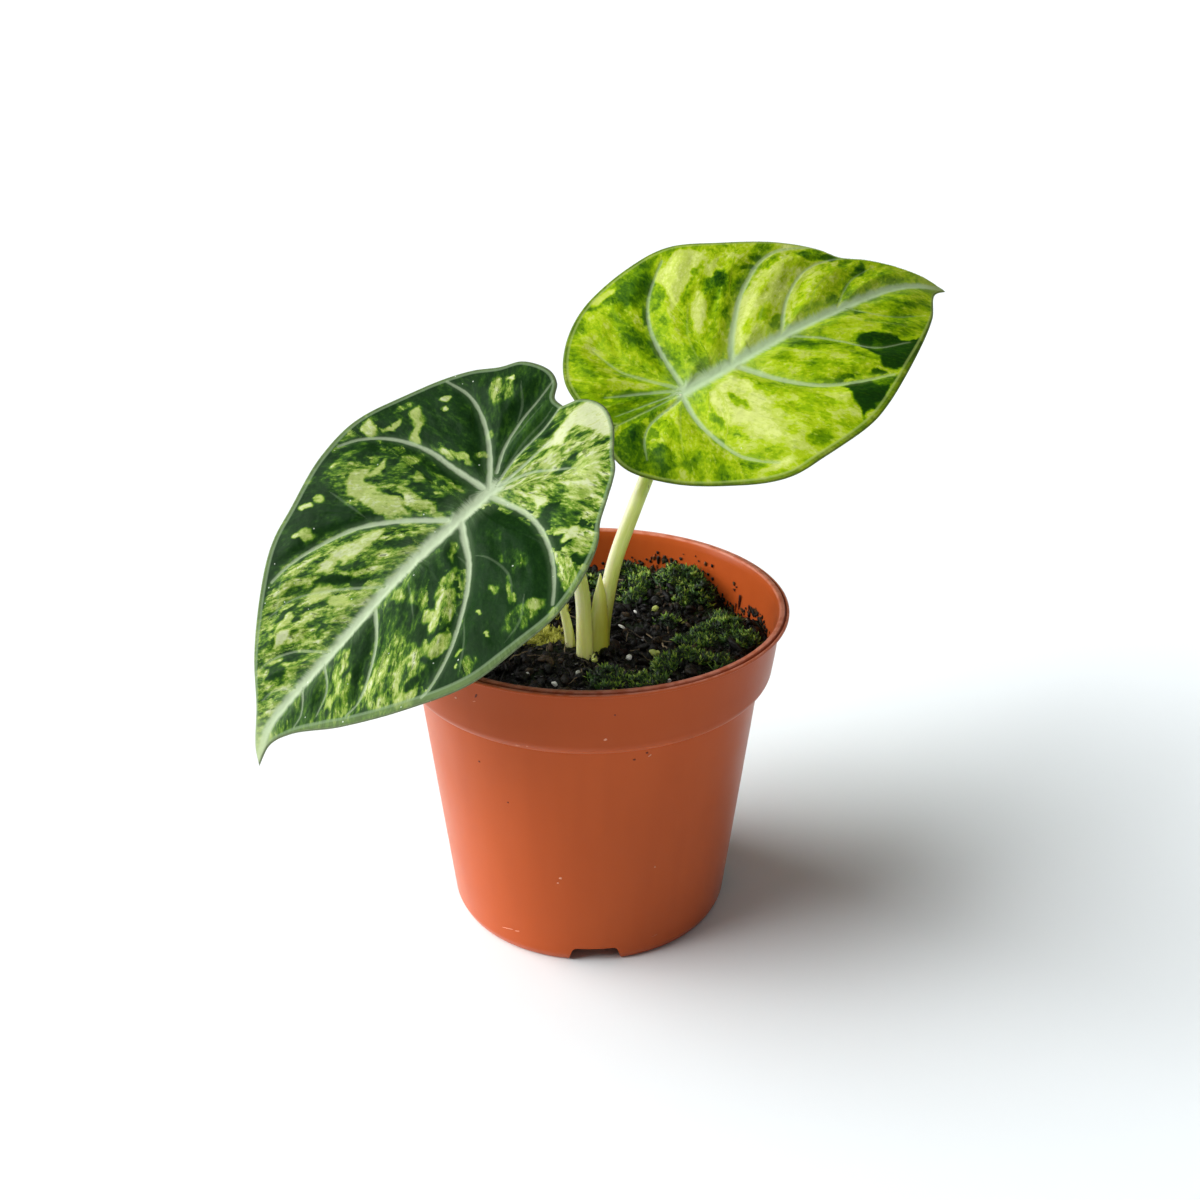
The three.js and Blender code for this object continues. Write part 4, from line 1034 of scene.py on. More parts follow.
def cut(piece, tools):
    """Cuts the tools out of a piece and removes them."""
    for tool in tools:
        modifier = piece.modifiers.new("cut", "BOOLEAN")
        modifier.operation = "DIFFERENCE"
        modifier.solver = "EXACT"
        modifier.object = tool
    depsgraph = bpy.context.evaluated_depsgraph_get()
    mesh = bpy.data.meshes.new_from_object(piece.evaluated_get(depsgraph))
    piece.modifiers.clear()
    piece.data = mesh
    mesh.polygons.foreach_set("use_smooth", np.ones(len(mesh.polygons), bool))
    mesh.set_sharp_from_angle(angle=math.radians(SHARP_ANGLE))
    for tool in tools:
        bpy.data.objects.remove(tool)


def pot_base_colour(paint, place):
    """Terracotta with faint clouds and the drawn streaks of the mould."""
    cloud = paint.noise(paint.stretched(place, (0.022, 0.022, 0.012)), 1.0, 3, 0.55)
    streak = paint.noise(paint.stretched(place, (0.16, 0.16, 0.006)), 1.0, 2)
    colour = paint.mix(paint.fade(cloud, 0.3, 0.7), srgb(184, 81, 30), srgb(190, 86, 35))
    return paint.mix(paint.fade(streak, 0.4, 0.75, 0.0, 0.3), colour, srgb(176, 75, 26))


def pot_parts_colour(paint, place, colour):
    """The band's deeper tone, a painted highlight along the crease, a painted sheen on the lip's top, painted
    shade in the lip's groove, and painted shade under the base.
    """
    height = paint.axis(place, 2)
    crease = paint.math("ABSOLUTE", paint.math("SUBTRACT", height, CREASE[1] + 0.1))
    across = paint.length(paint.stretched(place, (1, 1, 0)))
    # The radius less the wall's lean is alike at every height, and tells the wall's faces apart.
    wall_lean, mid_wall = 0.125, 39.2
    upright = paint.math("SUBTRACT", across, paint.times(height, wall_lean))
    on_band = paint.times(paint.fade(height, CREASE[1] + 0.3, CREASE[1] + 1),
                          paint.fade(upright, mid_wall - 0.2, mid_wall + 0.2))
    colour = paint.mix(paint.times(on_band, 0.45), colour, srgb(156, 66, 24))
    # Painted highlight: a thin pale line along the crease.
    colour = paint.mix(paint.fade(crease, 0.3, 0.1, 0.0, 0.3), colour, srgb(214, 120, 80))
    # Painted sheen: the lip's top is made paler in patches, standing for the reflection of the bright
    # surroundings.
    lip_sheen = paint.fade(paint.noise(place, 0.35, 3), 0.35, 0.6, 0.25, 0.6)
    lip_sheen = paint.times(lip_sheen, paint.fade(height, POT_HEIGHT - 0.7, POT_HEIGHT - 0.3))
    colour = paint.mix(lip_sheen, colour, srgb(222, 150, 128))
    # Painted shade: the lip's groove is darkened.
    groove = paint.math("ABSOLUTE", paint.math("SUBTRACT", across, LIP_GROOVE))
    groove = paint.times(paint.fade(groove, 0.35, 0.15),
                         paint.fade(height, LIP_GROOVE_FLOOR - 0.3, LIP_GROOVE_FLOOR - 0.1))
    colour = paint.mix(paint.times(groove, 0.4), colour, srgb(80, 28, 14))
    # Painted shade: the pot's underside inside the foot ring is made dark, as if in deep shadow.
    inside_foot = FOOT_RADIUS - FOOT_WIDTH + 0.3
    shade_beneath = paint.times(paint.fade(across, inside_foot + 0.3, inside_foot),
                          paint.fade(height, FLOOR_CLEARANCE + 0.5, FLOOR_CLEARANCE + 0.1))
    return paint.mix(paint.times(shade_beneath, 0.9), colour, srgb(58, 30, 20))


def plastic_material():
    """Satin plastic with a fine grain, pale scuffs and grains of dirt."""
    paint = Paint("terracotta_plastic")
    place = paint.place()
    colour = pot_parts_colour(paint, place, pot_base_colour(paint, place))
    scuffs = paint.specks(paint.stretched(place, (1, 1, 1.6)), 7.0, 0.3, 0.06)
    colour = paint.mix(paint.times(scuffs, 0.5), colour, srgb(240, 190, 165))
    dirt = paint.specks(paint.stretched(place, (1.3, 1, 1)), 9.0, 0.3, 0.05)
    colour = paint.mix(paint.times(dirt, 0.6), colour, srgb(95, 40, 22))
    grain = paint.noise(place, 2.6, 2, 0.6)
    waves = paint.noise(paint.stretched(place, (0.07, 0.07, 0.02)), 1.0, 1)
    normal = paint.bump(waves, 0.25, paint.bump(grain, 0.02))
    roughness = paint.fade(paint.noise(place, 0.05, 3), 0.3, 0.7, 0.30, 0.37)
    return paint.finish(colour, roughness, normal, {
        "Specular IOR Level": 0.14, "Sheen Weight": 0.14, "Sheen Roughness": 0.35})


def wall_axes(turn):
    """The directions outward, sideways and up at turns round the pot, in degrees."""
    turn = np.radians(turn)
    none = np.zeros(len(turn))
    out = np.column_stack([np.cos(turn), np.sin(turn), none])
    side = np.column_stack([-np.sin(turn), np.cos(turn), none])
    return out, side, np.tile([0.0, 0, 1], (len(turn), 1))


def make_scuffs():
    """Scratches, pale specks and grains of dirt on the outside of the pot."""
    turn, height, length, width, lean, tint = np.array(SCUFFS, float).T
    out, side, up = wall_axes(turn)
    lean = np.radians(lean)[:, None]
    along = side * np.cos(lean) + up * np.sin(lean)
    base, faces = ball(2)
    base = roughened(base, 0.5, 1.6, 81)
    sizes = np.column_stack([np.full(len(turn), SCUFF_DEPTH), length, width])
    centres = out * outer_radius(height)[:, None] + up * height[:, None]
    turns = np.stack([out, along, np.cross(out, along)], axis=2)
    points, faces = copies(base, faces, centres, sizes, turns)
    stops = [(0.2, (96, 34, 16)), (0.5, (200, 104, 66)), (0.9, (232, 168, 138))]
    new_piece("scuffs", points, faces, [chunk_material("scuffs", stops, 0.5)],
              {"tint": np.repeat(tint, len(base))})


def make_pot():
    points, faces = lathe(pot_profile(), POT_SEGMENTS)
    pot = new_piece("nursery_pot", points, faces, [plastic_material()])
    tools = [notch_cutter(turn) for turn in NOTCH_TURNS]
    tools += [drain_cutter((i + 0.5) * 2 * math.pi / DRAIN_COUNT) for i in range(DRAIN_COUNT)]
    cut(pot, tools)
    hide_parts("pot")
    make_scuffs()


# The potting mix


def ground(places):
    """The height of the mix's surface at places in x and y."""
    x, y = places.T
    height = np.full(len(places), SOIL_LEVEL)
    for rise_x, rise_y, reach, rise in SOIL_RISES:
        height += rise * np.exp(-1.5 * ((x - rise_x) ** 2 + (y - rise_y) ** 2) / reach ** 2)
    radius = np.maximum(np.hypot(x, y), 1)
    rim_noise = layered_noise(places / radius[:, None] * 9, 13)
    height += 1.5 * smoothstep((radius - 38) / 9) * rim_noise
    height += 0.9 * layered_noise(places / 5.5, 3) + 1.15 * layered_noise(places / 2.0, 8)
    return height


def soil_material():
    paint = Paint("potting_mix")
    place = paint.place()
    lumps = paint.noise(place, 0.9, 4, 0.62)
    colour = paint.ramp(lumps, [(0.25, (2, 2, 2)), (0.5, (7, 7, 5)), (0.72, (22, 18, 13))])
    moss = paint.fade(paint.noise(place, 0.10, 3), 0.52, 0.66)
    colour = paint.mix(paint.times(moss, 0.55), colour, srgb(26, 46, 8))
    normal = paint.bump(lumps, 0.8, paint.bump(paint.noise(place, 3.5, 3, 0.6), 0.2))
    roughness = paint.fade(paint.noise(place, 1.3, 2), 0.35, 0.7, 0.3, 0.8)
    return paint.finish(colour, roughness, normal, {"Specular IOR Level": 0.18})


def make_soil_bed():
    """The bed of mix as one closed body that fills the pot."""
    circle = unit_ring(SOIL_SEGMENTS)
    foot = FLOOR_TOP + 0.3
    rings = []
    for height in (foot, CREASE[1], BAND_LOW[1] - 0.4):
        radius = float(inner_radius(height)) - 2 * SOIL_GAP
        rings.append(np.column_stack([circle * radius, np.full(SOIL_SEGMENTS, height)]))
    surface_radius = float(inner_radius(SOIL_LEVEL)) - SOIL_GAP
    for share in np.linspace(1, 1 / SOIL_RINGS, SOIL_RINGS):
        places = circle * surface_radius * share
        rings.append(np.column_stack([places, ground(places)]))
    middle = ground(np.zeros((1, 2)))[0]
    points = np.vstack([[(0, 0, foot)], *rings, [(0, 0, middle)]])
    bed = new_piece("potting_mix", points, skin(len(rings), SOIL_SEGMENTS), [soil_material()])
    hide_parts("soil")


def scattered(random, count, edge=1.6):
    """Random places on the mix, clear of the pot's wall and of the stems' feet."""
    radius = (inner_radius(SOIL_LEVEL) - edge) * np.sqrt(random.uniform(size=4 * count))
    turn = random.uniform(0, 2 * np.pi, 4 * count)
    places = radius[:, None] * on_circle(turn)
    clear = np.ones(len(places), bool)
    for stem in (LEFT_PETIOLE, RIGHT_PETIOLE, OLD_STUB, CATAPHYLL):
        clear &= np.hypot(*(places - stem[0][:2]).T) > STEM_CLEARANCE
    return places[clear][:count]


def chunk_material(name, stops, roughness, gloss=0.3):
    """A rough lump. stops run from the darkest lumps to the palest."""
    paint = Paint(name)
    place = paint.place()
    share = paint.add(paint.number("tint"), paint.swing(paint.noise(place, 1.6, 3), 0.5))
    normal = paint.bump(paint.noise(place, 3.2, 3, 0.6), 0.25)
    return paint.finish(paint.ramp(share, stops), roughness, normal, {"Specular IOR Level": gloss})


def chunks(name, places, sizes, flatness, material, seed, lift=0.2, detail=2, roughen=0.35):
    """Small rough lumps that lie on the mix."""
    random = np.random.default_rng(seed)
    base, faces = ball(detail)
    count = len(places)
    shapes = np.stack([roughened(base, roughen, 1.3, seed, shift=random.uniform(-50, 50, 3))
                       for _ in range(24)])
    base = shapes[random.integers(0, len(shapes), count)]
    stretch = np.exp(random.normal(0, 0.28, (count, 3))) * np.array([1, 1, flatness])
    lengths = sizes[:, None] * stretch
    centres = np.column_stack([places, ground(places) + lift * sizes])
    points, faces = copies(base, faces, centres, lengths, random_turns(random, count))
    tints = np.repeat(random.uniform(size=count), base.shape[1])
    new_piece(name, points, faces, [material], {"tint": tints})


def make_chunks():
    random = np.random.default_rng(21)
    dark = [(0.1, (2, 2, 2)), (0.6, (9, 8, 6)), (0.88, (26, 21, 14)), (1.0, (74, 60, 42))]
    bark = chunk_material("bark", dark, 0.36, 0.22)
    crumbs = scattered(random, 1300)
    chunks("bark_crumbs", crumbs, random.uniform(0.4, 1.5, len(crumbs)) ** 1.3, 0.5, bark, 31,
           lift=0.3, roughen=0.6)
    wet = chunk_material("wet_peat", [(0.1, (3, 3, 3)), (1.0, (20, 17, 12))], 0.14, 0.6)
    grains = scattered(random, 260, 1.5)
    chunks("wet_crumbs", grains, random.uniform(0.3, 0.8, len(grains)), 0.6, wet, 34, lift=0.5)
    grains = scattered(random, 3600, 1.0)
    chunks("peat_grains", grains, random.uniform(0.2, 0.55, len(grains)), 0.8, bark, 32, detail=1)
    white = chunk_material("perlite", [(0.0, (190, 190, 182)), (1.0, (238, 238, 232))], 0.75)
    perlite = np.array(PERLITE, float)
    chunks("perlite_grains", perlite, random.uniform(0.55, 0.95, len(perlite)), 0.85, white, 33,
           lift=0.9, detail=3, roughen=0.45)


def make_wall_crumbs():
    """Crumbs and dried streaks of mix that stick to the inside of the wall above the mix."""
    random = np.random.default_rng(71)
    rows = []
    for turn, height, spread, rise, count, length in WALL_CRUMBS:
        for _ in range(count):
            z = min(height + rise * random.uniform() ** 1.7, WALL_CRUMBS_TOP)
            size = random.uniform(0.15, 0.55) * (1.25 - 0.5 * (z - height) / max(rise, 1))
            rows.append((turn + spread * random.uniform(-1, 1), z, size, length))
    turn, z, size, length = np.array(rows).T
    out, side, up = wall_axes(turn)
    centres = out * (inner_radius(z) - 0.12)[:, None] + up * z[:, None]
    stretch = np.column_stack([np.full(len(size), 0.6), random.uniform(0.7, 1.5, len(size)),
                               length * random.uniform(0.8, 1.6, len(size))])
    base, faces = ball(2)
    base = roughened(base, 0.6, 1.5, 72)
    turns = np.stack([out, side, up], axis=2)
    points, faces = copies(base, faces, centres, size[:, None] * stretch, turns)
    stops = [(0.1, (6, 6, 3)), (0.5, (34, 20, 8)), (0.8, (62, 50, 16)), (1.0, (120, 66, 34))]
    tints = np.repeat(random.uniform(size=len(size)), len(base))
    new_piece("wall_crumbs", points, faces, [chunk_material("wall_crumbs", stops, 0.6)],
              {"tint": tints})


def make_wall_streaks():
    """Dark wet streaks on the inside of the wall."""
    turn, height, half_width, half_height = np.array(WALL_STREAKS, float).T
    out, side, up = wall_axes(turn)
    centres = out * (inner_radius(height) - 0.05)[:, None] + up * height[:, None]
    base, faces = ball(3)
    base = roughened(base, 0.3, 1.6, 91, 3)
    sizes = np.column_stack([np.full(len(turn), 0.2), half_width, half_height])
    points, faces = copies(base, faces, centres, sizes, np.stack([out, side, up], axis=2))
    material = chunk_material("wall_streaks", [(0.1, (60, 14, 4)), (1.0, (110, 36, 10))], 0.3)
    tints = np.repeat(np.linspace(0, 1, len(turn)), len(base))
    new_piece("wall_streaks", points, faces, [material], {"tint": tints})


def make_beads():
    """Smooth yellow-green beads among the moss."""
    paint = Paint("beads")
    place = paint.place()
    colour = paint.mix(paint.noise(place, 0.6, 2), srgb(120, 140, 20), srgb(205, 208, 120))
    material = paint.finish(colour, 0.35, paint.bump(paint.noise(place, 1.5), 0.15))
    random = np.random.default_rng(41)
    table = np.array(BEADS)
    places, radii = table[:, :2], table[:, 2:]
    base, faces = ball(3)
    base = roughened(base, 0.3, 1.2, 42)
    centres = np.column_stack([places, ground(places) + 0.9 * radii[:, 0]])
    sizes = radii * np.array([1.25, 0.8, 0.8])
    points, faces = copies(base, faces, centres, sizes, random_turns(random, len(table)))
    new_piece("beads", points, faces, [material])


def moss_material(name, stops):
    paint = Paint(name)
    share = paint.add(paint.number("tint"), paint.swing(paint.noise(paint.place(), 0.42, 3), 1.3))
    tip = paint.number("tip")
    colour = paint.ramp(paint.add(paint.times(share, 0.55), paint.times(tip, 0.42)), stops)
    return paint.finish(colour, 0.55)


def moss_spots(random, cushions):
    """Where the sprigs of some cushions stand, and how high each cushion lifts them."""
    spots, lifts = [], []
    for x, y, reach, count in cushions:
        sprigs = count // MOSS_CLUMPS
        for _ in range(MOSS_CLUMPS):
            turn, away = random.uniform(0, 2 * np.pi), reach * random.uniform(0, 0.75)
            centre = np.array([x + away * np.cos(turn), y + away * np.sin(turn)])
            clump = reach * random.uniform(0.3, 0.85)
            radius = clump * np.sqrt(random.uniform(size=sprigs))
            spots.append(centre + radius[:, None] * on_circle(random.uniform(0, 2 * np.pi, sprigs)))
            lifts.append(0.5 * clump * (1 - (radius / clump) ** 2) * random.uniform(0.1, 1.1))
    spots, lifts = np.vstack(spots), np.concatenate(lifts)
    inside = np.hypot(*spots.T) < float(inner_radius(SOIL_LEVEL)) - MOSS_WALL_GAP
    return spots[inside], lifts[inside]


def make_moss(name, cushions, stops, seed):
    """Cushions of sprigs, each a star of needles."""
    random = np.random.default_rng(seed)
    spots, lifts = moss_spots(random, cushions)
    feet = np.repeat(spots, MOSS_NEEDLES, axis=0)
    heights = ground(spots) + lifts + random.uniform(-0.7, 0.6, len(spots))
    centres = np.column_stack([feet, np.repeat(heights, MOSS_NEEDLES)])
    count = len(feet)
    heading = random.uniform(0, 2 * np.pi, count)
    lean = random.uniform(0.3, 1.45, count)
    length = random.uniform(0.9, 2.7, count)
    out = np.column_stack([np.sin(lean) * np.cos(heading), np.sin(lean) * np.sin(heading),
                           np.cos(lean)])
    side = np.column_stack([-np.sin(heading), np.cos(heading), np.zeros(count)])
    turns = np.stack([side, np.cross(out, side), out], axis=2)
    width = random.uniform(0.5, 1.1, count)
    sizes = np.column_stack([width, width, length])
    points, faces = copies(np.array(NEEDLE_POINTS), np.array(NEEDLE_FACES), centres, sizes, turns)
    tints = np.repeat(random.uniform(size=len(spots)), MOSS_NEEDLES * len(NEEDLE_POINTS))
    new_piece(name, points, faces, [moss_material(name, stops)],
              {"tint": tints, "tip": np.tile(NEEDLE_TIPS, count)})


def fibre(random, start):
    """The centre line of one fine root or twig that lies over the mix."""
    count = 8
    length = random.uniform(5, 17)
    heading = random.uniform(0, 2 * np.pi)
    bend = random.normal(0, 0.09)
    angles = heading + bend * (np.arange(count) / (count - 1) * length)
    places = start + np.cumsum(on_circle(angles), axis=0) * length / count
    places = places[np.hypot(*places.T) <= inner_radius(SOIL_LEVEL) - 1]
    rise = 0.5 + 0.8 * np.sin(np.linspace(0, np.pi, len(places))) * random.uniform()
    return np.column_stack([places, ground(places) + rise])


def make_fibres():
    random = np.random.default_rng(51)
    stops = [(0.1, (20, 16, 12)), (0.6, (60, 48, 34)), (1.0, (150, 132, 104))]
    points, faces, tints = [], [], []
    total = 0
    for start in scattered(random, 170, 3):
        path = fibre(random, start)
        if len(path) < 3:
            continue
        radii = random.uniform(0.09, 0.28) * np.linspace(1, 0.4, len(path))
        fibre_points, fibre_faces = tube(path, radii, 5)
        faces += [tuple(corner + total for corner in face) for face in fibre_faces]
        total += len(fibre_points)
        points.append(fibre_points)
        tints.append(np.full(len(fibre_points), random.uniform() ** 1.6))
    new_piece("fibres", np.vstack(points), faces, [chunk_material("fibres", stops, 0.6)],
              {"tint": np.concatenate(tints)})


# The stems


def stem_material(name, stops, foot_tint, speck_share):
    """A waxy stem. stops run from its shaded side to its lit side."""
    paint = Paint(name)
    place = paint.place()
    grain = paint.number("grain", "Vector")
    lines = paint.noise(paint.stretched(grain, (0.05, 2.2, 1)), 1.0, 3, 0.6)
    clouds = paint.noise(paint.stretched(grain, (0.12, 0.5, 1)), 1.0, 3, 0.6)
    share = paint.add(paint.number("lit"), paint.swing(clouds, 0.5), paint.swing(lines, 0.35))
    colour = paint.ramp(share, stops)
    foot = paint.fade(paint.add(paint.number("rise"), paint.swing(clouds, 10)), 26, 8)
    colour = paint.mix(paint.times(foot, 0.7), colour, srgb(*foot_tint))
    specks = paint.specks(paint.stretched(place, (1, 1, 0.45)), 1.5, 0.3, speck_share)
    colour = paint.mix(paint.times(specks, 0.55), colour, srgb(96, 104, 40))
    normal = paint.bump(lines, 0.12, paint.bump(paint.noise(place, 1.2), 0.06))
    return paint.finish(colour, 0.42, normal, {
        "Subsurface Weight": 0.75, "Subsurface Radius": (1.0, 1.15, 0.55), "Subsurface Scale": 0.003})


def make_stem(name, points, radii, material, node, channel=0.0, left_out=0):
    """One stem, with a shallow channel down the lower half of its left side.

    left_out rows at its end are left out, so that it stays under its blade.
    """
    path = resample(smooth_path(points), STEM_STEP)
    path = path[: len(path) - left_out]
    share = np.linspace(0, 1, len(path))
    angles = np.arange(STEM_SIDES) * 2 * np.pi / STEM_SIDES
    groove = 1 - channel * np.exp(-((np.angle(np.exp(1j * (angles - math.pi))) / 0.5) ** 2))
    width = np.interp(share, np.linspace(0, 1, len(radii)), radii)
    fold = smoothstep((0.55 - share) / 0.2)
    profile = [w * (1 + f * (groove - 1)) for w, f in zip(width, fold)]
    stem_points, faces = tube(path, profile, STEM_SIDES)
    ring_of = np.concatenate([[0], np.repeat(np.arange(len(path)), STEM_SIDES), [len(path) - 1]])
    turn_of = np.concatenate([[0], np.tile(angles, len(path)), [0]])
    outward = stem_points - path[ring_of]
    # Painted light: lit runs from the side away from the window on the left to the side towards it, and the
    # stem's colour is paler there.
    lit = 0.5 - 0.5 * outward[:, 0] / width[ring_of] * 0.9
    rise = share[ring_of] * STEM_STEP * len(path)
    grain = np.column_stack([rise, turn_of * 2.2, np.zeros(len(rise))])
    stem = new_piece(name, stem_points, faces, [material],
                     {"lit": lit, "rise": rise, "grain": grain})
    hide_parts(node)


def make_stems():
    petiole = stem_material("petiole", [
        (0.1, (190, 208, 96)), (0.35, (222, 232, 140)), (0.6, (240, 244, 186)),
        (0.85, (248, 248, 222))], (236, 240, 140), 0.08)
    sheathed = stem_material("sheathed_petiole", [
        (0.1, (190, 206, 92)), (0.4, (222, 232, 134)), (0.7, (242, 244, 184)),
        (0.95, (248, 248, 216))], (138, 146, 22), 0.12)
    papery = stem_material("sheath", [
        (0.1, (196, 204, 84)), (0.5, (228, 232, 130)), (0.9, (246, 246, 196))], (176, 182, 44), 0.08)
    stub = stem_material("old_stub", [
        (0.1, (176, 190, 84)), (0.5, (220, 226, 152)), (0.9, (240, 242, 204))], (226, 228, 160), 0.05)
    make_stem("left_petiole", LEFT_PETIOLE, LEFT_PETIOLE_RADII, petiole,
              "leaf_left_petiole", PETIOLE_CHANNEL, 2)
    make_stem("right_petiole", RIGHT_PETIOLE, RIGHT_PETIOLE_RADII, sheathed,
              "leaf_right_petiole", PETIOLE_CHANNEL, 2)
    make_stem("old_stub", OLD_STUB, OLD_STUB_RADII, stub, "old_petiole_stub")
    make_stem("papery_sheath", CATAPHYLL, CATAPHYLL_RADII, papery, "cataphyll")


# The blades


def blade_outline(leaf, step):
    """The closed outline, anticlockwise from the tip."""
    first = resample(smooth_path(leaf["side_to_notch"]), step)
    second = resample(smooth_path(leaf["side_to_tip"]), step)
    return np.vstack([first[:-1], second[:-1]])[::-1]


def blade_form(leaf, places):
    """Height of the blade's middle surface over its flat frame: an arch and a shallow trough."""
    share = places[:, 0] / leaf["length"]
    arch = np.where(share > 0, share * (1 - share), share / (1 - 3 * np.minimum(share, 0)))
    trough = np.hypot(places[:, 1], TROUGH_ROUNDING) - TROUGH_ROUNDING
    return 4 * leaf["arch"] * arch + leaf["trough"] * trough


def stand_blade(leaf, places, heights):
    """Places on the blade's flat frame, at heights over it, in the plant's frame."""
    heading, dip, roll = (math.radians(leaf[key]) for key in ("heading", "dip", "roll"))
    along = np.array([math.cos(heading) * math.cos(dip), math.sin(heading) * math.cos(dip),
                      -math.sin(dip)])
    level = np.array([-math.sin(heading), math.cos(heading), 0])
    across = level * math.cos(roll) - np.cross(along, level) * math.sin(roll)
    axes = np.vstack([along, across, np.cross(along, across)])
    return np.array(leaf["attachment"]) + np.column_stack([places, heights]) @ axes


def panel_number(order, last):
    """Which panel a place lies in, from its order among the side veins."""
    return np.clip(np.floor(order + 1e-6).astype(int) + 1, 0, last)


def read_panels(places, on_left, distances, turns):
    """Each place's order among its side's veins, and its place in a pattern that follows them."""
    order = np.zeros(len(places))
    grain = np.zeros((len(places), 3))
    for side, chosen in (("left", on_left), ("right", ~on_left)):
        away = np.array(distances[side])[:, chosen]
        weights = 1 / np.maximum(away, 0.02) ** 3
        order[chosen] = (weights * np.arange(len(away))[:, None]).sum(axis=0) / weights.sum(axis=0)
        panel = panel_number(order[chosen], len(away))
        lean = np.unwrap(turns[side])
        lean = np.concatenate([lean[:1], (lean[1:] + lean[:-1]) / 2, lean[-1:]])[panel]
        u, v = places[chosen].T
        grain[chosen, 0] = u * np.cos(lean) + v * np.sin(lean) + PANEL_SHIFT[0] * panel
        grain[chosen, 1] = v * np.cos(lean) - u * np.sin(lean) + PANEL_SHIFT[1] * panel
        grain[chosen, 2] = 0.0 if side == "left" else RIGHT_SIDE_SHIFT
    return order, grain


def read_veins(leaf, places, on_left):
    """How near each place is to its nearest vein, how pale that vein is, and the flow beside it."""
    veins = [("both", leaf["midrib"]), ("both", leaf["sinus"])]
    veins += [("left", vein) for vein in leaf["left_side"]]
    veins += [("right", vein) for vein in leaf["right_side"]]
    nearness = np.full(len(places), OUT_OF_REACH)
    paleness = np.zeros(len(places))
    rib_distance = np.full(len(places), np.inf)
    distances = {"left": [], "right": []}
    turns = {"left": [], "right": []}
    for side, (root, end, pale, points) in veins:
        path = resample(smooth_path(points, PATH_STEPS), VEIN_STEP)
        distance, share = path_distance(places, path)
        rib_distance = np.minimum(rib_distance, distance)
        narrowing, most, dying = 1.0, 1.0, 0.15
        if side != "both":
            narrowing, most, dying = 0.85, 0.88, 0.5
            distances[side].append(distance)
            turns[side].append(np.arctan2(*(path[-1] - path[0])[::-1]))
        away = distance / (narrowing * (root + (end - root) * share ** 0.7))
        closer = away < nearness
        nearness[closer] = away[closer]
        paleness[closer] = (pale * (most - dying * share ** 1.5))[closer]
    order, grain = read_panels(places, on_left, distances, turns)
    return nearness, paleness, rib_distance, order, grain


def read_tones(leaf, places, order, rib_distance, on_left, seed):
    """The variegation and its mottling at each place."""
    tone = np.zeros(len(places))
    busy = np.zeros(len(places))
    wander = [layered_noise(places / RAGGED_GRAIN, own_seed, 4) for own_seed in (seed, seed + 9)]
    ragged = places + RAGGED_REACH * np.column_stack(wander)
    far_from_vein = smoothstep((rib_distance - 0.5) / 3)
    shifted = order + 0.5 * far_from_vein * layered_noise(places / 4, seed + 20, 4)
    for key, chosen in (("left_panels", on_left), ("right_panels", ~on_left)):
        panels = np.array(leaf[key])
        tone[chosen], busy[chosen] = panels[panel_number(shifted[chosen], len(panels) - 1)].T
    layers = []
    for corners, field_tone, field_busy in leaf["fields"]:
        corners = np.array(corners, float)
        distance, _ = path_distance(ragged, np.vstack([corners, corners[:1]]))
        signed = np.where(inside_outline(ragged, corners), distance, -distance)
        layers.append((smoothstep(signed / FIELD_SOFTNESS + 0.5), field_tone, field_busy))
    for u, v, length, width, turn, spot_tone, spot_busy in leaf["spots"]:
        cos, sin = math.cos(math.radians(turn)), math.sin(math.radians(turn))
        du, dv = ragged[:, 0] - u, ragged[:, 1] - v
        away = np.hypot((du * cos + dv * sin) / length, (dv * cos - du * sin) / width)
        layers.append((smoothstep((1.3 - away) / 0.6), spot_tone, spot_busy))
    for weight, layer_tone, layer_busy in layers:
        tone += (layer_tone - tone) * weight
        busy += (layer_busy - busy) * weight
    return tone, busy


def read_blade(leaf, places, outline, seed):
    """The numbers that a blade's relief and material are made from, at places on it."""
    spine = np.array(leaf["sinus"][3][::-1] + leaf["midrib"][3][1:], float)
    on_left = places[:, 1] > np.interp(places[:, 0], spine[:, 0], spine[:, 1])
    edge, _ = path_distance(places, np.vstack([outline, outline[:1]]))
    nearness, paleness, rib_distance, order, grain = read_veins(leaf, places, on_left)
    tone, busy = read_tones(leaf, places, order, rib_distance, on_left, seed)
    thin = np.full(len(places), OUT_OF_REACH)
    for points in leaf["thin_veins"]:
        path = resample(smooth_path(points, PATH_STEPS), VEIN_STEP)
        distance, share = path_distance(places, path)
        taper = np.maximum(np.sin(np.pi * share) ** 0.6, 0.05)
        thin = np.minimum(thin, distance / taper)
    margin = np.where(on_left, np.interp(places[:, 0], *leaf["left_margin"]),
                      np.interp(places[:, 0], *leaf["right_margin"]))
    reach = np.hypot(*places.T)
    flow = np.column_stack([reach, order * 10, np.where(on_left, 0.0, RIGHT_SIDE_SHIFT)])
    return {
        "edge": edge, "vein": nearness, "pale": paleness, "thin": thin, "tone": tone, "busy": busy,
        "collective": np.abs(edge - margin), "band": smoothstep((margin - edge) / 0.5 + 0.5),
        "flow": flow, "grain": grain, "rib_distance": rib_distance,
    }


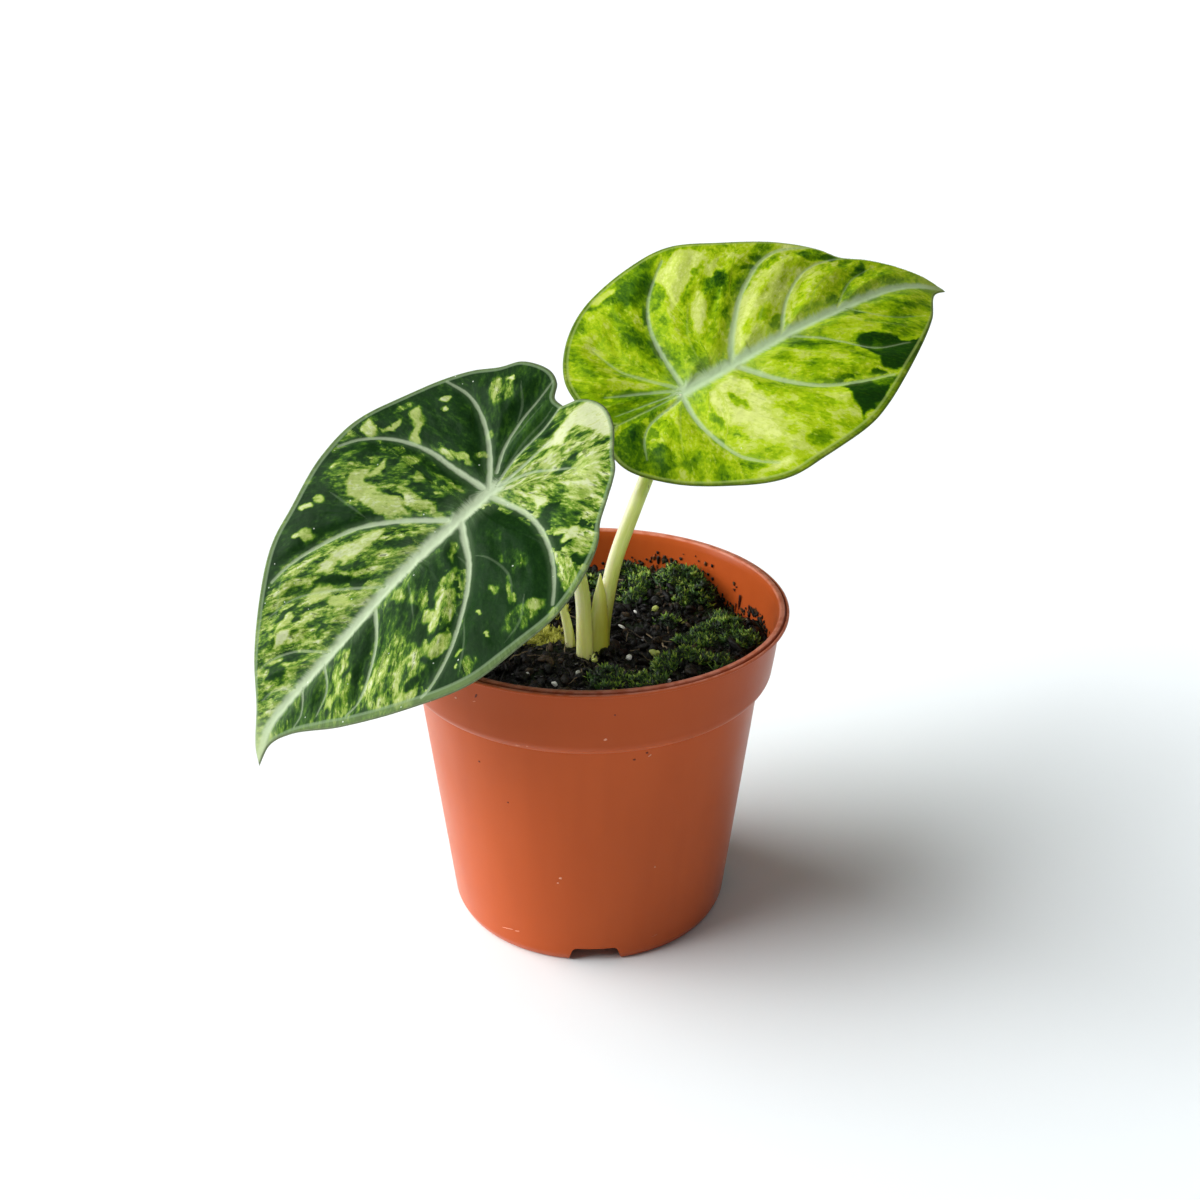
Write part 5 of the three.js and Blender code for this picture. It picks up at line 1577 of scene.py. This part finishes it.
def blade_heights(leaf, places, read, upper, seed):
    """The height of a blade's upper or lower face over its flat frame."""
    inside = smoothstep(read["edge"] / FLAT_MARGIN)
    quilt = leaf["quilt"] * smoothstep(read["rib_distance"] / QUILT_REACH) * inside
    between = inside * smoothstep(read["rib_distance"] / 3)
    quilt += WRINKLE * layered_noise(read["grain"][:, :2] / np.array([7.0, 2.8]), seed, 2) * between
    quilt += FINE_WRINKLE * layered_noise(places / 1.5, seed + 4, 2) * inside
    into_edge = 1 - np.minimum(read["edge"] / EDGE_ROUNDING, 1)
    half = BLADE_THICKNESS / 2 * np.sqrt(1 - into_edge ** 2)
    height = blade_form(leaf, places) + quilt
    if upper:
        return height + half - VEIN_TROUGH * np.exp(-(read["vein"] / 0.8) ** 2) * inside
    rib = RIB_DEPTH * np.exp(-(read["vein"] / 0.9) ** 2) * inside
    margin_rib = MARGIN_RIB_DEPTH * np.exp(-(read["collective"] / 0.5) ** 2) * inside
    return height - half - rib - margin_rib


def grid_inside(outline, step, edge_gap):
    """A grid of equal triangles inside an outline, clear of it by edge_gap."""
    low, high = outline.min(axis=0), outline.max(axis=0)
    rows = np.arange(low[1], high[1], step * math.sqrt(0.75))
    columns = np.arange(low[0], high[0], step)
    u, v = np.meshgrid(columns, rows)
    u = u + np.where(np.arange(len(rows)) % 2 == 1, step / 2, 0)[:, None]
    places = np.column_stack([u.ravel(), v.ravel()])
    places = places[inside_outline(places, outline)]
    distance, _ = path_distance(places, np.vstack([outline, outline[:1]]))
    return places[distance > edge_gap]


def sheet(outline, step):
    """Places and triangles that fill an outline. The outline's own points come first."""
    places = np.vstack([outline, grid_inside(outline, step, 0.6 * step)])
    loop = list(range(len(outline)))
    filled = delaunay_2d_cdt([Vector(place) for place in places], [], [loop], 1, 1e-6)
    return np.array([tuple(place) for place in filled[0]]), np.array(filled[2])


def mottled_colour(paint, look):
    """Patches and islands of the leaf's tones, with dark and pale dashes along its veins' flow."""
    grain = paint.number("grain", "Vector")
    busy = paint.number("busy")
    patches = paint.noise(paint.stretched(grain, look["patch"]), 1.0, 4, 0.54)
    islands = paint.noise(paint.stretched(grain, look["island"]), 1.0, 3, 0.55)
    swing = paint.add(paint.swing(patches, look["patch_swing"]),
                      paint.swing(islands, look["island_swing"]))
    fray = paint.swing(paint.noise(paint.stretched(grain, (0.9, 1.5, 1)), 1.0, 3, 0.6), 0.34)
    level = paint.add(paint.number("tone"), paint.times(swing, busy), fray)
    colour = paint.ramp(level, look["stops"])
    dashes = paint.noise(paint.stretched(grain, look["dash"]), 1.0, 3, 0.6)
    dark_dashes = paint.times(paint.fade(dashes, 0.56, 0.61, 0.0, look["dark_share"]), busy)
    colour = paint.mix(dark_dashes, colour, srgb(*look["dark_dash"]))
    pale_dashes = paint.times(paint.fade(dashes, 0.41, 0.36, 0.0, look["pale_share"]),
                              paint.fade(level, 0.3, 0.5))
    return paint.mix(pale_dashes, colour, srgb(*look["pale_dash"]))


def veined_colour(paint, look, colour):
    """Veins over a colour: a glow and a comb of fine lines beside them, the margin and the tip."""
    flow = paint.number("flow", "Vector")
    vein = paint.number("vein")
    pale = paint.number("pale")
    comb = paint.noise(paint.stretched(flow, (0.05, 2.6, 1)), 1.0, 2)
    glow = paint.times(paint.fade(vein, 3.2, 0.6, 0.0, look["glow"]), pale)
    colour = paint.mix(glow, colour, srgb(*look["beside"]))
    beside = paint.times(paint.fade(vein, 3.2, 1.2), paint.fade(comb, 0.45, 0.62, 0.0, 0.14))
    colour = paint.mix(paint.times(beside, pale), colour, srgb(*look["beside"]))
    band = paint.times(paint.number("band"), paint.fade(comb, 0.3, 0.7, 0.5, 0.8))
    colour = paint.mix(band, colour, srgb(*look["band"]))
    thin = paint.fade(paint.number("thin"), 0.5, 0.1)
    colour = paint.mix(paint.times(thin, look["thin_share"]), colour, srgb(*look["thin"]))
    collective = paint.fade(paint.number("collective"), 0.5, 0.12)
    colour = paint.mix(paint.times(collective, 0.5), colour, srgb(*look["thin"]))
    wisp = paint.swing(paint.noise(paint.stretched(flow, (0.35, 1.2, 1)), 1.0, 3), 0.9)
    mask = paint.fade(paint.add(vein, wisp), 1.25, 0.35)
    vein_colour = paint.mix(paint.fade(vein, 0.4, 0.0, 0.0, 0.4), srgb(*look["vein"]),
                            srgb(*look["vein_line"]))
    colour = paint.mix(paint.times(mask, pale), colour, vein_colour)
    drip = paint.fade(paint.axis(flow, 0), look["tip_from"], look["tip_from"] + 10)
    colour = paint.mix(paint.times(drip, 0.7), colour, srgb(*look["tip"]))
    rim = paint.fade(paint.number("edge"), 0.5, 0.2)
    return paint.mix(paint.times(rim, 0.7), colour, srgb(*look["rim"]))


def blade_material(name, look, underside):
    """Variegated leaf skin: mottled tones, a painted sheen, pale veins, a veined margin, a thin pale edge and
    painted glints on the upper face.
    """
    paint = Paint(name)
    place = paint.place()
    colour = mottled_colour(paint, look)
    # Painted sheen: a grey-green haze laid over the tones in patches, standing for the soft reflection of the
    # window on the leaf.
    painted_sheen = paint.fade(paint.noise(place, 0.12, 3), 0.35, 0.7, 0.0, look["painted_sheen_share"])
    colour = paint.mix(painted_sheen, colour, srgb(*look["painted_sheen"]))
    colour = veined_colour(paint, look, colour)
    if underside:
        colour = paint.mix(0.5, colour, srgb(*look["under"]))
        roughness = 0.62
    else:
        # Painted highlights: small white specks that stand for glints of light on the upper face.
        glints = paint.specks(place, 2.4, 0.24, look["glints"])
        colour = paint.mix(paint.times(glints, 0.6), colour, srgb(222, 232, 216))
        roughness = paint.fade(paint.noise(place, 0.3, 3), 0.3, 0.7, 0.34, 0.48)
    normal = paint.bump(paint.noise(place, 0.9, 3, 0.55), 0.14)
    return paint.finish(colour, roughness, normal, {"Specular IOR Level": look["gloss"]})


def make_blade(name, leaf, look, node, seed):
    """A blade with a fine upper face and a coarser lower one that share their outline."""
    outline = blade_outline(leaf, BLADE_STEP)
    upper_places, upper_faces = sheet(outline, BLADE_STEP)
    lower_places, lower_faces = sheet(outline, UNDERSIDE_STEP)
    count = len(outline)
    upper = read_blade(leaf, upper_places, outline, seed)
    lower = read_blade(leaf, lower_places, outline, seed)
    upper_points = stand_blade(leaf, upper_places,
                               blade_heights(leaf, upper_places, upper, True, seed))
    lower_points = stand_blade(leaf, lower_places,
                               blade_heights(leaf, lower_places, lower, False, seed))
    points = np.vstack([upper_points, lower_points[count:]])
    joined = np.where(lower_faces < count, lower_faces, lower_faces + len(upper_points) - count)
    faces = np.vstack([upper_faces, joined[:, ::-1]])
    indices = np.repeat([0, 1], [len(upper_faces), len(lower_faces)])
    keys = ("edge", "vein", "pale", "thin", "tone", "busy", "collective", "band", "flow", "grain")
    numbers = {key: np.concatenate([upper[key], lower[key][count:]]) for key in keys}
    materials = [blade_material(name, look, False), blade_material(name + "_underside", look, True)]
    blade = new_piece(name, points, faces, materials, numbers, indices)
    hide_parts(node)


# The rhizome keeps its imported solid


def root_material():
    paint = Paint("root")
    place = paint.place()
    rings = paint.noise(paint.stretched(place, (1, 1, 2.5)), 0.5, 4, 0.6)
    colour = paint.ramp(rings, [(0.3, (110, 82, 54)), (0.55, (170, 138, 98)), (0.8, (206, 180, 142))])
    return paint.finish(colour, 0.8, paint.bump(rings, 0.4))


def dress_rhizome():
    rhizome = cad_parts["rhizome"]
    rhizome.data.materials.clear()
    rhizome.data.materials.append(root_material())


make_camera()
make_studio()
make_pot()
make_soil_bed()
make_chunks()
make_wall_crumbs()
make_wall_streaks()
make_beads()
make_moss("yellow_moss", YELLOW_MOSS, YELLOW_MOSS_COLOURS, 61)
make_moss("green_moss", GREEN_MOSS, GREEN_MOSS_COLOURS, 62)
make_fibres()
make_stems()
make_blade("dark_blade", LEFT_LEAF, DARK_LOOK, "leaf_left_blade", 5)
make_blade("light_blade", RIGHT_LEAF, LIGHT_LOOK, "leaf_right_blade", 6)
dress_rhizome()
